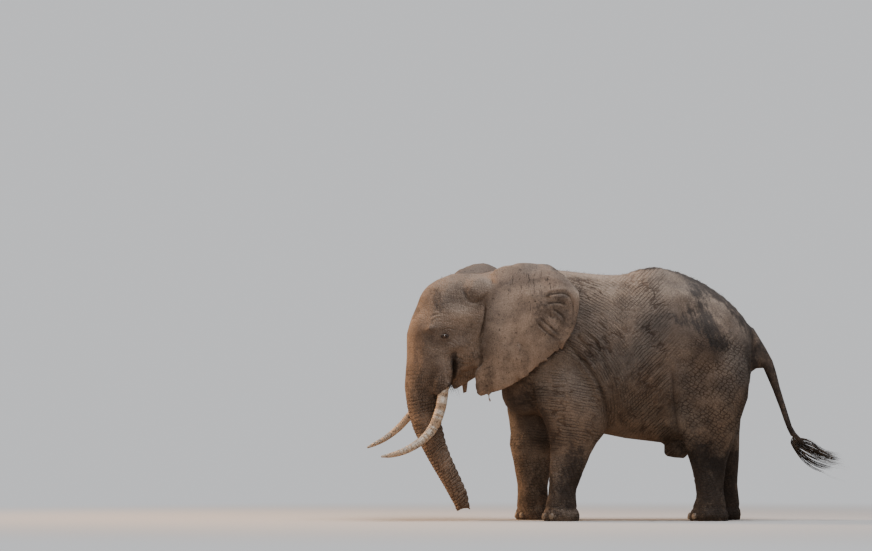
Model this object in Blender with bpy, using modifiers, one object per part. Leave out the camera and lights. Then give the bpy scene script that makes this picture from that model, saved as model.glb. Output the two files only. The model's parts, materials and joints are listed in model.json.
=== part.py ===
"""African bush elephant, an adult bull, standing, at life size.

The flesh is made whole and then parted. Lofted limbs and rounded masses are fused by a voxel remesh,
smoothed and thinned to a few thousand triangles. Pockets are cut in it for the eyes, tusks and toenails,
and thin slabs part it into head, neck, torso, trunk and legs. Ears and tail are solids of their own that
meet the body.

Metres, +Z up. The elephant faces -Y and its left side is +X. It stands on its soles at Z = 0.
"""

import math

import bmesh
import bpy
import numpy as np
from mathutils import Euler, Matrix, Vector

COLLECTION = "elephant"
GAP = 0.0004  # between two pieces that touch
CUT = 0.0006  # thickness of a slab that parts the flesh
CRUMB = 0.001  # volume of flesh too small to be a piece, left where two cuts cross
VOXEL = 0.017
FLESH_TRIANGLES = 2350

# The head, with tusks, ears and trunk, is made facing straight ahead and turned about the neck.
NECK_PIVOT = Vector((0.0, -1.15, 0.0))
HEAD_YAW = math.radians(12)

EYE_RADIUS = 0.026
EYE_PLACE = Vector((0.386, -2.075, 2.335))

RIBS_CUT = 0.09
LOIN_CUT = 0.82
KNEE_LEVEL = 0.72

FORE_TRACK = 0.37  # from the middle plane to the centre of each forefoot
HIND_TRACK = 0.32

# Body: y, top, bottom, half width, height of the widest level
TORSO = (
    (-1.12, 3.00, 1.72, 0.28, 2.35),
    (-0.98, 3.13, 1.50, 0.38, 2.30),
    (-0.75, 3.19, 1.30, 0.47, 2.22),
    (-0.40, 3.165, 1.17, 0.545, 2.12),
    (0.00, 3.12, 1.10, 0.610, 2.00),
    (0.30, 3.12, 1.04, 0.655, 1.92),
    (0.62, 3.215, 1.00, 0.675, 1.90),
    (0.90, 3.18, 0.98, 0.655, 1.95),
    (1.20, 3.065, 1.05, 0.600, 2.05),
    (1.50, 2.885, 1.22, 0.525, 2.10),
    (1.74, 2.67, 1.48, 0.415, 2.10),
    (1.90, 2.45, 1.72, 0.27, 2.08),
)

# Neck: y, sideways shift of the middle, top, bottom, half width
NECK = (
    (-0.72, 0.00, 3.20, 1.42, 0.44),
    (-1.00, 0.02, 3.215, 1.54, 0.415),
    (-1.28, 0.07, 3.18, 1.72, 0.40),
    (-1.52, 0.12, 3.12, 1.90, 0.385),
    (-1.78, 0.16, 3.00, 2.05, 0.35),
)

# Head: level, front, y of the widest point, back, half width
HEAD = (
    (3.125, -1.90, -1.72, -1.50, 0.10),
    (3.07, -2.04, -1.70, -1.36, 0.22),
    (2.97, -2.21, -1.70, -1.28, 0.32),
    (2.84, -2.29, -1.72, -1.24, 0.385),
    (2.68, -2.36, -1.76, -1.24, 0.425),
    (2.52, -2.43, -1.80, -1.26, 0.43),
    (2.35, -2.475, -1.86, -1.30, 0.42),
    (2.15, -2.475, -1.93, -1.38, 0.40),
    (1.95, -2.485, -2.03, -1.62, 0.36),
    (1.78, -2.50, -2.15, -1.88, 0.30),
    (1.64, -2.505, -2.25, -2.02, 0.235),
)

# Trunk: y, z, half depth, half width
TRUNK = (
    (-2.20, 2.10, 0.24, 0.24),
    (-2.26, 1.88, 0.235, 0.245),
    (-2.275, 1.66, 0.228, 0.23),
    (-2.262, 1.45, 0.212, 0.212),
    (-2.232, 1.26, 0.192, 0.195),
    (-2.172, 1.06, 0.171, 0.175),
    (-2.096, 0.88, 0.152, 0.156),
    (-2.000, 0.69, 0.136, 0.140),
    (-1.900, 0.50, 0.124, 0.128),
    (-1.815, 0.33, 0.114, 0.118),
    (-1.770, 0.22, 0.100, 0.106),
    (-1.748, 0.150, 0.084, 0.090),
)

# Lower jaw: y, z, half height, half width
JAW = (
    (-1.42, 2.16, 0.24, 0.27),
    (-1.60, 1.99, 0.165, 0.235),
    (-1.75, 1.835, 0.105, 0.165),
    (-1.845, 1.72, 0.062, 0.085),
    (-1.878, 1.655, 0.036, 0.045),
)

# Tusks, each on its own side: x, y, z, radius
TUSK_LEFT = (
    (0.285, -2.010, 1.90, 0.058),
    (0.310, -2.039, 1.64, 0.062),
    (0.340, -2.112, 1.38, 0.061),
    (0.370, -2.231, 1.165, 0.059),
    (0.400, -2.380, 1.005, 0.054),
    (0.425, -2.580, 0.890, 0.045),
    (0.440, -2.760, 0.832, 0.033),
    (0.447, -2.893, 0.814, 0.014),
)
TUSK_RIGHT = (
    (0.285, -1.960, 1.92, 0.055),
    (0.310, -2.075, 1.66, 0.058),
    (0.345, -2.215, 1.48, 0.054),
    (0.380, -2.378, 1.31, 0.049),
    (0.400, -2.503, 1.172, 0.044),
    (0.422, -2.664, 1.042, 0.036),
    (0.437, -2.805, 0.965, 0.027),
    (0.444, -2.900, 0.922, 0.011),
)

# Legs: level, front, back, half width, outward shift from the track
FORELEG = (
    (2.20, -0.80, -0.16, 0.15, -0.02),
    (1.80, -0.86, -0.08, 0.20, 0.01),
    (1.45, -0.81, 0.045, 0.215, 0.02),
    (1.23, -0.715, 0.085, 0.205, 0.02),
    (1.05, -0.655, 0.015, 0.185, 0.01),
    (0.85, -0.637, -0.135, 0.170, 0.00),
    (0.62, -0.645, -0.232, 0.158, 0.00),
    (0.42, -0.660, -0.315, 0.155, 0.00),
    (0.28, -0.680, -0.325, 0.172, 0.00),
    (0.12, -0.725, -0.290, 0.205, 0.00),
    (0.02, -0.742, -0.275, 0.216, 0.00),
    (-0.06, -0.740, -0.280, 0.214, 0.00),
)
HINDLEG = (
    (2.25, 0.95, 1.75, 0.17, 0.02),
    (1.90, 0.86, 1.86, 0.225, 0.05),
    (1.60, 0.87, 1.86, 0.235, 0.06),
    (1.30, 0.93, 1.765, 0.215, 0.04),
    (1.05, 1.01, 1.685, 0.185, 0.02),
    (0.82, 1.085, 1.612, 0.160, 0.00),
    (0.60, 1.150, 1.560, 0.145, 0.00),
    (0.42, 1.185, 1.540, 0.142, 0.00),
    (0.28, 1.180, 1.560, 0.158, 0.00),
    (0.12, 1.120, 1.592, 0.186, 0.00),
    (0.02, 1.100, 1.600, 0.194, 0.00),
    (-0.06, 1.102, 1.598, 0.192, 0.00),
)
# How far each right leg stands along from its left twin: level, shift
FORE_STEP = ((0.0, -0.32), (0.45, -0.38), (0.95, -0.50), (1.45, -0.38), (2.2, -0.10))
HIND_STEP = ((0.0, 0.20), (0.42, 0.235), (0.82, 0.185), (1.1, 0.10), (1.4, 0.03), (2.2, 0.0))

# Tail: y, z, radius
TAIL = (
    (1.88, 2.40, 0.080),
    (1.99, 2.23, 0.074),
    (2.14, 2.00, 0.056),
    (2.225, 1.76, 0.041),
    (2.275, 1.56, 0.036),
    (2.330, 1.37, 0.032),
    (2.385, 1.20, 0.029),
    (2.440, 1.075, 0.027),
)
# Tuft of the tail: y, z, half height, half thickness
TUFT = (
    (2.415, 1.135, 0.036, 0.036),
    (2.455, 1.050, 0.050, 0.042),
    (2.520, 0.985, 0.075, 0.048),
    (2.640, 0.890, 0.118, 0.060),
    (2.800, 0.780, 0.128, 0.062),
    (2.950, 0.705, 0.105, 0.050),
    (3.060, 0.675, 0.072, 0.034),
    (3.105, 0.668, 0.040, 0.018),
)

# Ear outline, seen from its side: backward, up. It runs from the top of the root over the back to the lobe.
EAR = (
    (-1.36, 3.12),
    (-1.20, 3.225),
    (-1.00, 3.258),
    (-0.72, 3.250),
    (-0.58, 3.155),
    (-0.40, 3.005),
    (-0.285, 2.870),
    (-0.285, 2.660),
    (-0.345, 2.420),
    (-0.460, 2.230),
    (-0.640, 2.080),
    (-0.850, 1.925),
    (-1.050, 1.782),
    (-1.250, 1.645),
    (-1.430, 1.600),
    (-1.515, 1.565),
    (-1.575, 1.640),
    (-1.582, 1.840),
    (-1.570, 2.080),
    (-1.510, 2.320),
    (-1.470, 2.560),
    (-1.460, 2.800),
    (-1.420, 3.000),
)
EAR_ROOT = Vector((0.415, -1.40, 0.0))
# The left ear lies back along the shoulder. The right one is swung out, its upper part tipped ahead.
# Side, angle between ear and head, offsets of the top edge and of the lobe, how far ahead and up it lies
EAR_POSES = {
    "left": (1, math.radians(26), -0.20, -0.13, 0.065, 0.0),
    "right": (-1, math.radians(43), 0.26, 0.07, 0.245, 0.03),
}
EAR_MIDDLE = (-0.98, 2.50)
EAR_ROOT_THICKNESS = 0.050
EAR_RIM_THICKNESS = 0.016

SKIN_COLOUR = (0.16, 0.125, 0.10, 1)
EAR_COLOUR = (0.18, 0.14, 0.115, 1)
IVORY_COLOUR = (0.62, 0.53, 0.42, 1)
NAIL_COLOUR = (0.30, 0.25, 0.19, 1)
HAIR_COLOUR = (0.03, 0.022, 0.018, 1)
EYE_COLOUR = (0.05, 0.028, 0.015, 1)

HEAD_TURN = (
    Matrix.Translation(NECK_PIVOT) @ Matrix.Rotation(HEAD_YAW, 4, "Z") @ Matrix.Translation(-NECK_PIVOT)
)


# Scene and objects


def clear_scene():
    for obj in list(bpy.data.objects):
        bpy.data.objects.remove(obj, do_unlink=True)


def new_collection(name):
    made = bpy.data.collections.new(name)
    bpy.context.scene.collection.children.link(made)
    return made


def add_object(name, bm, collection):
    """The bmesh as a smooth-shaded object of triangles, its faces turned outward."""
    bmesh.ops.triangulate(bm, faces=bm.faces)
    if bm.calc_volume(signed=True) < 0:
        bmesh.ops.reverse_faces(bm, faces=bm.faces)
    mesh = bpy.data.meshes.new(name)
    bm.to_mesh(mesh)
    bm.free()
    mesh.shade_smooth()
    obj = bpy.data.objects.new(name, mesh)
    collection.objects.link(obj)
    return obj


def bake_modifiers(obj):
    """The modifiers' result becomes the object's own mesh."""
    graph = bpy.context.evaluated_depsgraph_get()
    baked = bpy.data.meshes.new_from_object(obj.evaluated_get(graph))
    obj.modifiers.clear()
    obj.data = baked


def boolean(obj, other, operation="DIFFERENCE"):
    modifier = obj.modifiers.new("boolean", "BOOLEAN")
    modifier.operation = operation
    modifier.solver = "EXACT"
    modifier.object = other
    bake_modifiers(obj)


def principled(name, colour, roughness):
    material = bpy.data.materials.new(name)
    material.use_nodes = True
    shader = material.node_tree.nodes["Principled BSDF"]
    shader.inputs["Base Color"].default_value = colour
    shader.inputs["Roughness"].default_value = roughness
    shader.inputs["Metallic"].default_value = 0
    material.diffuse_color = colour
    return material


# Curves and lofts


def catmull_rom(a, b, c, d, steps):
    """Points from b toward c on the smooth curve through all four."""
    made = []
    for t in np.arange(steps) / steps:
        square = (2 * a - 5 * b + 4 * c - d) * t**2
        cube = (3 * b - a - 3 * c + d) * t**3
        made.append(0.5 * (2 * b + (c - a) * t + square + cube))
    return made


def smooth_rows(rows, steps):
    """A smooth curve through the rows, each gap between two rows taken in so many steps."""
    rows = np.array(rows, float)
    before = 2 * rows[0] - rows[1]
    after = 2 * rows[-1] - rows[-2]
    padded = np.vstack([before, rows, after])
    made = []
    for i in range(len(rows) - 1):
        made += catmull_rom(*padded[i : i + 4], steps)
    made.append(rows[-1])
    return np.array(made)


def smooth_loop(points, steps):
    """A closed smooth curve through the points."""
    points = np.array(points, float)
    made = []
    for i in range(len(points)):
        made += catmull_rom(*(points[(i + k) % len(points)] for k in (-1, 0, 1, 2)), steps)
    return np.array(made)


def signed_power(value, power):
    return math.copysign(abs(value) ** power, value)


def egg_ring(count, across, ahead, behind, power=1.0):
    """Points round a rounded section, from its half width and its reach on each side of the widest line."""
    ring = []
    for k in range(count):
        cosine = math.cos(2 * math.pi * k / count)
        sine = math.sin(2 * math.pi * k / count)
        reach = ahead if sine >= 0 else behind
        ring.append((across * signed_power(cosine, power), reach * signed_power(sine, power)))
    return ring


def loft(rings):
    """A closed body through rings of equal count, each end closed by one face."""
    bm = bmesh.new()
    loops = [[bm.verts.new(p) for p in ring] for ring in rings]
    for first, second in zip(loops, loops[1:]):
        for k in range(len(first)):
            after = (k + 1) % len(first)
            bm.faces.new((first[k], first[after], second[after], second[k]))
    bm.faces.new(loops[0])
    bm.faces.new(loops[-1])
    bmesh.ops.recalc_face_normals(bm, faces=bm.faces)
    return bm


def path_loft(centres, halves, count, power=1.0):
    """A loft along a path of 3-D points that lies about in an upright plane, halves being (depth, width)."""
    centres = [Vector(c) for c in centres]
    side = Vector((1, 0, 0))
    rings = []
    for i, (centre, (depth, width)) in enumerate(zip(centres, halves)):
        ahead = centres[min(i + 1, len(centres) - 1)] - centres[max(i - 1, 0)]
        normal = ahead.cross(side).normalized()
        across = normal.cross(ahead).normalized()
        ring = egg_ring(count, width, depth, depth, power)
        rings.append([centre + across * x + normal * y for x, y in ring])
    return loft(rings)


def ellipsoid(centre, radii, turn=(0, 0, 0), segments=24, rings=12):
    bm = bmesh.new()
    place = Matrix.LocRotScale(Vector(centre), Euler(turn), Vector(radii))
    bmesh.ops.create_uvsphere(bm, u_segments=segments, v_segments=rings, radius=1, matrix=place)
    return bm


def mirrored(bm):
    """A copy of the bmesh on the other side of the middle plane."""
    other = bm.copy()
    bmesh.ops.scale(other, vec=(-1, 1, 1), verts=other.verts)
    bmesh.ops.reverse_faces(other, faces=other.faces)
    return other


def turned(bm, matrix):
    bmesh.ops.transform(bm, matrix=matrix, verts=bm.verts)
    return bm


# Flesh


def torso_mass():
    rings = []
    for y, top, bottom, half, level in smooth_rows(TORSO, 4):
        ring = egg_ring(40, half, top - level, level - bottom, 0.94)
        rings.append([(x, y, level + z) for x, z in ring])
    return loft(rings)


def neck_mass():
    rings = []
    for y, shift, top, bottom, half in smooth_rows(NECK, 4):
        level = (top + bottom) / 2
        reach = (top - bottom) / 2
        rings.append([(shift + x, y, level + z) for x, z in egg_ring(36, half, reach, reach, 0.9)])
    return loft(rings)


def head_mass():
    rings = []
    for level, front, widest, back, half in smooth_rows(HEAD, 4):
        ring = egg_ring(36, half, widest - front, back - widest, 0.88)
        rings.append([(x, widest - y, level) for x, y in ring])
    return loft(rings)


def trunk_mass():
    rows = smooth_rows(TRUNK, 4)
    return path_loft([(0, y, z) for y, z, _, _ in rows], [(d, w) for _, _, d, w in rows], 28)


def jaw_mass():
    rows = smooth_rows(JAW, 4)
    return path_loft([(0, y, z) for y, z, _, _ in rows], [(h, w) for _, _, h, w in rows], 28, 0.9)


def head_masses():
    """What makes the head stand out from its plain loft, and the two fingers of the trunk."""
    paired = [
        ellipsoid((0.262, -2.13, 2.455), (0.120, 0.22, 0.075), (0.25, 0, 0.45)),  # brow
        ellipsoid((0.330, -1.87, 2.23), (0.110, 0.26, 0.115), (0.35, 0, 0.1)),  # cheekbone
        ellipsoid((0.250, -1.60, 2.86), (0.190, 0.27, 0.215)),  # dome of the skull
        ellipsoid((0.245, -2.10, 1.92), (0.130, 0.165, 0.30), (0.12, 0.16, 0)),  # socket of the tusk
        ellipsoid((0.300, -2.065, 1.70), (0.098, 0.108, 0.125), (0.2, 0.12, 0)),  # lip round the tusk
        ellipsoid((0.270, -1.56, 2.08), (0.130, 0.19, 0.20), (0.5, 0, 0)),  # angle of the jaw
    ]
    single = [
        ellipsoid((0, -2.16, 2.70), (0.27, 0.185, 0.30), (-0.2, 0, 0)),  # forehead
        ellipsoid((0, -1.835, 0.135), (0.036, 0.030, 0.045), (0.5, 0, 0), 12, 8),  # front finger
        ellipsoid((0, -1.665, 0.140), (0.040, 0.028, 0.038), (-0.4, 0, 0), 12, 8),  # back finger
    ]
    return single + paired + [mirrored(bm) for bm in paired]


def body_masses():
    """Shoulder blade, elbow, haunch, hip and flank of the left side."""
    return [
        ellipsoid((0.28, -0.44, 2.22), (0.225, 0.48, 0.76), (0.12, 0.10, 0)),
        ellipsoid((0.36, -0.38, 1.62), (0.200, 0.42, 0.46)),
        ellipsoid((0.37, 1.22, 2.12), (0.265, 0.50, 0.56), (-0.15, 0, 0)),
        ellipsoid((0.31, 1.08, 2.74), (0.200, 0.34, 0.20), (-0.32, 0.3, 0)),
        ellipsoid((0.36, 1.00, 1.42), (0.200, 0.26, 0.34), (-0.30, 0, 0)),
    ]


def single_masses():
    """Ridge of the back, root of the tail, the bulge under it, and the sheath on the belly."""
    return [
        ellipsoid((0, 0.72, 2.98), (0.20, 0.46, 0.225), (-0.08, 0, 0)),
        ellipsoid((0, -0.75, 2.95), (0.30, 0.50, 0.24)),
        ellipsoid((0, 1.80, 2.33), (0.15, 0.17, 0.24), (0.55, 0, 0)),
        ellipsoid((0, 1.86, 2.06), (0.13, 0.165, 0.20), (0.2, 0, 0)),
        ellipsoid((0, 1.00, 0.92), (0.10, 0.20, 0.145), (0.25, 0, 0)),
        ellipsoid((0, -0.96, 1.62), (0.26, 0.30, 0.30)),
    ]


def step_at(step, side, level):
    """How far along from its left twin a right leg stands at this level."""
    return np.interp(level, *zip(*step)) if side < 0 else 0


def leg_mass(rows, track, side, step):
    rings = []
    for level, front, back, half, outward in smooth_rows(rows, 4):
        middle = (front + back) / 2 + step_at(step, side, level)
        centre = side * (track + outward)
        ring = egg_ring(28, half, (back - front) / 2, (back - front) / 2, 0.92)
        rings.append([(centre + x, middle + y, level) for x, y in ring])
    return loft(rings)


def fuse(masses, cutters):
    """All masses as one smooth closed mesh of FLESH_TRIANGLES triangles, cut flat at the soles."""
    whole = bmesh.new()
    for bm in masses:
        mesh = bpy.data.meshes.new("mass")
        bm.to_mesh(mesh)
        bm.free()
        whole.from_mesh(mesh)
        bpy.data.meshes.remove(mesh)
    flesh = add_object("flesh", whole, cutters)
    remesh = flesh.modifiers.new("remesh", "REMESH")
    remesh.mode = "VOXEL"
    remesh.voxel_size = VOXEL
    smooth = flesh.modifiers.new("smooth", "SMOOTH")
    smooth.factor = 0.5
    smooth.iterations = 22
    bake_modifiers(flesh)
    thin = flesh.modifiers.new("thin", "DECIMATE")
    flesh.data.calc_loop_triangles()
    thin.ratio = FLESH_TRIANGLES / len(flesh.data.loop_triangles)
    bake_modifiers(flesh)
    floor = slab(cutters, "floor", (0, 0, -0.5), (0, 0, 0), (9, 9, 1))
    boolean(flesh, floor)
    return flesh


# Cuts


def slab(cutters, name, centre, turn, size):
    """A box as a cutter, its size along its own axes."""
    bm = bmesh.new()
    place = Matrix.LocRotScale(Vector(centre), Euler(turn), Vector(size))
    bmesh.ops.create_cube(bm, size=1, matrix=place)
    return as_cutter(add_object(name, bm, cutters))


def as_cutter(obj):
    obj.hide_render = True
    obj.display_type = "WIRE"
    return obj


def in_head(point):
    return HEAD_TURN @ Vector(point)


def head_slab(cutters, name, centre, tilt, size):
    """A slab placed in the straight head, tilted about its X axis and turned with the head."""
    return slab(cutters, name, in_head(centre), (tilt, 0, HEAD_YAW), size)


def part_slabs(cutters):
    """Every cut between two pieces of flesh."""
    rad = math.radians
    made = [
        head_slab(cutters, "cut_neck", (0, -1.42, 2.5), 0, (2.2, CUT, 2.6)),
        slab(cutters, "cut_withers", (0, -1.08, 2.3), (rad(-8), 0, rad(4)), (2.6, CUT, 2.6)),
        slab(cutters, "cut_ribs", (0, RIBS_CUT, 2.2), (0, 0, 0), (2.6, CUT, 2.6)),
        slab(cutters, "cut_loin", (0, LOIN_CUT, 2.2), (0, 0, 0), (2.6, CUT, 3.4)),
        head_slab(cutters, "cut_mouth", (0, -1.885, 1.76), 0, (1.2, CUT, 0.625)),
        head_slab(cutters, "cut_jaw", (0, -1.653, 2.07), 0, (1.3, 0.47, CUT)),
    ]
    rows = smooth_rows(TRUNK, 4)
    for name, share in (("upper", 0.24), ("middle", 0.52), ("tip", 0.80)):
        i = int(share * (len(rows) - 1))
        along = rows[i + 1][:2] - rows[i - 1][:2]
        tilt = math.atan2(along[1], along[0]) + math.pi / 2
        y, z = rows[i][:2]
        made.append(head_slab(cutters, "cut_trunk_" + name, (0, y, z), tilt, (0.9, 0.62, CUT)))
    for side, word in ((1, "left"), (-1, "right")):
        for name, track, inner, step, upper, front, back in (
            ("fore", FORE_TRACK, 0.07, FORE_STEP, 1.28, -1.0, RIBS_CUT + CUT),
            ("hind", HIND_TRACK, 0.12, HIND_STEP, 1.36, LOIN_CUT - CUT, 2.1),
        ):
            if name == "fore":
                front += step_at(step, side, 1.0) * 0.55
            place = f"cut_{name}_{word}_"
            middle, length = (front + back) / 2, back - front
            knee = (side * track, (front + back) / 2 + step_at(step, side, KNEE_LEVEL) * 0.5, KNEE_LEVEL)
            groin = (side * (inner + 0.003), middle, upper - 0.55)
            over = (side * (inner + 0.375), middle, upper)
            made.append(slab(cutters, place + "groin", groin, (0, 0, 0), (CUT, length, 0.50)))
            made.append(slab(cutters, place + "top", over, (0, -side * rad(40), 0), (0.98, length, CUT)))
            made.append(slab(cutters, place + "knee", knee, (0, 0, 0), (0.5, 1.5, CUT)))
    return made


def inflated(obj, cutters, by):
    """A cutter a hair larger than the object all round."""
    bm = bmesh.new()
    bm.from_mesh(obj.data)
    bm.normal_update()
    for vert in bm.verts:
        vert.co += vert.normal * by
    return as_cutter(add_object(obj.name + "_inflated", bm, cutters))


def loose_pieces(obj):
    """The separate bodies of the object, each as its own bmesh."""
    bm = bmesh.new()
    bm.from_mesh(obj.data)
    pieces = []
    left = set(bm.verts)
    while left:
        found = {left.pop()}
        edge = list(found)
        while edge:
            vert = edge.pop()
            for link in vert.link_edges:
                other = link.other_vert(vert)
                if other not in found:
                    found.add(other)
                    edge.append(other)
        left -= found
        pieces.append(found)
    made = []
    for found in pieces:
        index = {v.index for v in found}
        piece = bm.copy()
        piece.verts.ensure_lookup_table()
        bmesh.ops.delete(piece, geom=[v for v in piece.verts if v.index not in index], context="VERTS")
        made.append(piece)
    bm.free()
    return made


def flesh_names():
    """Each node of flesh with a point near its middle."""
    named = {
        "head": in_head((0, -1.98, 2.50)),
        "lower_jaw": in_head((0, -1.66, 1.90)),
        "neck": Vector((0.03, -1.24, 2.46)),
        "torso_front": Vector((0, -0.45, 2.30)),
        "torso_middle": Vector((0, 0.45, 2.05)),
        "torso_rear": Vector((0, 1.25, 2.20)),
        "trunk_upper": in_head((0, -2.25, 1.26)),
        "trunk_lower": in_head((0, -2.02, 0.72)),
        "trunk_tip": in_head((0, -1.80, 0.28)),
    }
    for side, word in ((1, "left"), (-1, "right")):
        for part, level in (("upper", 1.05), ("lower", 0.35)):
            fore = -0.45 + step_at(FORE_STEP, side, level)
            hind = 1.37 + step_at(HIND_STEP, side, level)
            named[f"foreleg_{word}_{part}"] = Vector((side * FORE_TRACK, fore, level))
            named[f"hindleg_{word}_{part}"] = Vector((side * HIND_TRACK, hind, level))
    return named


def part_flesh(flesh, cutters, model, skin):
    """The flesh cut by every slab, each piece becoming the node whose middle is nearest."""
    for cutter in part_slabs(cutters):
        boolean(flesh, cutter)
    named = flesh_names()
    for piece in loose_pieces(flesh):
        if piece.calc_volume() < CRUMB:
            continue
        middle = sum((v.co for v in piece.verts), Vector()) / len(piece.verts)
        name = min(named, key=lambda n: (named[n] - middle).length)
        del named[name]
        add_object(name, piece, model).data.materials.append(skin)
    assert not named, f"no flesh for {sorted(named)}"


# Ears, tusks, eyes, nails and tail


def ear_offset(back, up, top, lobe):
    """How far the ear's sheet stands out from its plane: domed, its top edge and its lobe bent away."""
    dome = 0.055 * math.exp(-(((back + 0.95) / 0.55) ** 2) - ((up - 2.65) / 0.6) ** 2)
    return dome + top * max(0.0, (up - 2.85) / 0.4) ** 1.6 + lobe * max(0.0, (2.15 - up) / 0.6) ** 1.5


def ear_solid(side, flare, top, lobe, ahead, lift):
    """An ear of the straight head: rings from its middle out to the rim, on both faces of a bent sheet."""
    outline = smooth_loop(EAR, 2)
    middle = np.array(EAR_MIDDLE)
    bm = bmesh.new()
    rims = []
    for face in (1, -1):
        centre = bm.verts.new((ear_offset(*middle, top, lobe) + face * EAR_ROOT_THICKNESS / 4, *middle))
        rings = []
        for share in (0.45, 0.80, 1.0):
            ring = []
            for back, up in middle + (outline - middle) * share:
                root = math.exp(-(((back - EAR_ROOT.y) / 0.30) ** 2)) if share < 1 else 0
                thick = EAR_RIM_THICKNESS + root * (EAR_ROOT_THICKNESS - EAR_RIM_THICKNESS)
                ring.append(bm.verts.new((ear_offset(back, up, top, lobe) + face * thick / 2, back, up)))
            rings.append(ring)
        for k in range(len(outline)):
            after = (k + 1) % len(outline)
            bm.faces.new((centre, rings[0][k], rings[0][after]))
            for inner, outer in zip(rings, rings[1:]):
                bm.faces.new((inner[k], outer[k], outer[after], inner[after]))
        rims.append(rings[-1])
    near, far = rims
    for k in range(len(outline)):
        after = (k + 1) % len(outline)
        bm.faces.new((near[k], far[k], far[after], near[after]))
    bmesh.ops.recalc_face_normals(bm, faces=bm.faces)
    hinge = Matrix.Translation(EAR_ROOT + Vector((0, -ahead, lift))) @ Matrix.Rotation(-flare, 4, "Z")
    turned(bm, hinge @ Matrix.Translation((0, -EAR_ROOT.y, 0)))
    return bm if side > 0 else mirrored(bm)


def add_ears(body_cutter, model, material):
    for word, pose in EAR_POSES.items():
        ear = add_object(f"ear_{word}", turned(ear_solid(*pose), HEAD_TURN), model)
        boolean(ear, body_cutter)
        keep_largest(ear)
        ear.data.materials.append(material)


def keep_largest(obj):
    """Drops the crumbs that a cut may leave."""
    pieces = loose_pieces(obj)
    if len(pieces) > 1:
        largest = max(pieces, key=lambda piece: len(piece.verts))
        largest.to_mesh(obj.data)


def set_in(flesh, piece, cutters):
    """A pocket in the flesh that the piece sits in."""
    boolean(flesh, inflated(piece, cutters, 2 * GAP))


def add_tusks(flesh, model, cutters, material):
    for name, rows, side in (("tusk_left", TUSK_LEFT, 1), ("tusk_right", TUSK_RIGHT, -1)):
        rows = smooth_rows(rows, 2)
        centres = [(side * x, y, z) for x, y, z, _ in rows]
        solid = path_loft(centres, [(r, r) for _, _, _, r in rows], 9)
        tusk = add_object(name, turned(solid, HEAD_TURN), model)
        tusk.data.materials.append(material)
        set_in(flesh, tusk, cutters)


def add_eyes(flesh, model, cutters, material):
    for word, side in (("left", 1), ("right", -1)):
        centre = in_head((side * EYE_PLACE.x, EYE_PLACE.y, EYE_PLACE.z))
        eye = add_object(f"eye_{word}", ellipsoid(centre, [EYE_RADIUS] * 3, segments=10, rings=6), model)
        eye.data.materials.append(material)
        set_in(flesh, eye, cutters)


def foot_outline(rows, track, side, step, level, bearing):
    """The foot's surface point at a level, on the bearing from straight ahead toward its outer side."""
    heights = [row[0] for row in reversed(rows)]
    front, back, half = (np.interp(level, heights, [row[k] for row in reversed(rows)]) for k in (1, 2, 3))
    moved = step_at(step, side, level)
    depth = (back - front) / 2
    centre = Vector((side * track, (front + back) / 2 + moved, level))
    return centre + Vector((side * half * math.sin(bearing), -depth * math.cos(bearing), 0))


def add_nails(flesh, model, cutters, material):
    """Four nails on each forefoot and three on each hind one, fanned round its front."""
    feet = (
        ("fore", FORELEG, FORE_TRACK, FORE_STEP, (-46, -14, 20, 56)),
        ("hind", HINDLEG, HIND_TRACK, HIND_STEP, (-34, 0, 38)),
    )
    for name, rows, track, step, bearings in feet:
        for side, word in ((1, "left"), (-1, "right")):
            for number, degrees in enumerate(bearings, 1):
                bearing = math.radians(degrees)
                spot = foot_outline(rows, track, side, step, 0.062, bearing)
                size = 1.0 - 0.14 * abs(bearing)
                turn = (math.radians(-14), 0, side * bearing)
                radii = (0.050 * size, 0.028, 0.052 * size)
                solid = ellipsoid(spot, radii, turn, segments=6, rings=4)
                nail = add_object(f"nail_{name}_{word}_{number}", solid, model)
                nail.data.materials.append(material)
                set_in(flesh, nail, cutters)


def add_tail(body_cutter, model, cutters, skin, hair):
    """Three lengths of tail that end at the body, and the tuft beyond them."""
    rows = smooth_rows(TAIL, 2)
    solid = path_loft([(0, y, z) for y, z, _ in rows], [(r, r) for _, _, r in rows], 8)
    whole = add_object("tail_whole", solid, model)
    boolean(whole, body_cutter)
    keep_largest(whole)
    tail_cutter = inflated(whole, cutters, 2 * GAP)
    for name, index in (("middle", 6), ("end", 10)):
        along = rows[index + 1] - rows[index - 1]
        tilt = math.atan2(along[1], along[0]) + math.pi / 2
        y, z = rows[index][:2]
        boolean(whole, slab(cutters, "cut_tail_" + name, (0, y, z), (tilt, 0, 0), (0.3, 0.3, CUT)))
    pieces = sorted(loose_pieces(whole), key=lambda piece: -max(v.co.z for v in piece.verts))
    bpy.data.objects.remove(whole)
    for name, piece in zip(("tail_root", "tail_middle", "tail_end"), pieces, strict=True):
        add_object(name, piece, model).data.materials.append(skin)
    rows = smooth_rows(TUFT, 1)
    tuft = path_loft([(0, y, z) for y, z, _, _ in rows], [(h, w) for _, _, h, w in rows], 8)
    tuft = add_object("tail_tuft", tuft, model)
    boolean(tuft, tail_cutter)
    tuft.data.materials.append(hair)


def stand_on_origin(model):
    """Moves every mesh so that the middle of the whole model's base is the origin."""
    corners = np.array([v.co for obj in model.objects for v in obj.data.vertices])
    low, high = corners.min(axis=0), corners.max(axis=0)
    shift = Matrix.Translation((-(low[0] + high[0]) / 2, -(low[1] + high[1]) / 2, -low[2]))
    for obj in model.objects:
        obj.data.transform(shift)
    print("size", (high - low).round(4), "shift", [round(value, 4) for value in shift.translation])


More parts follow.
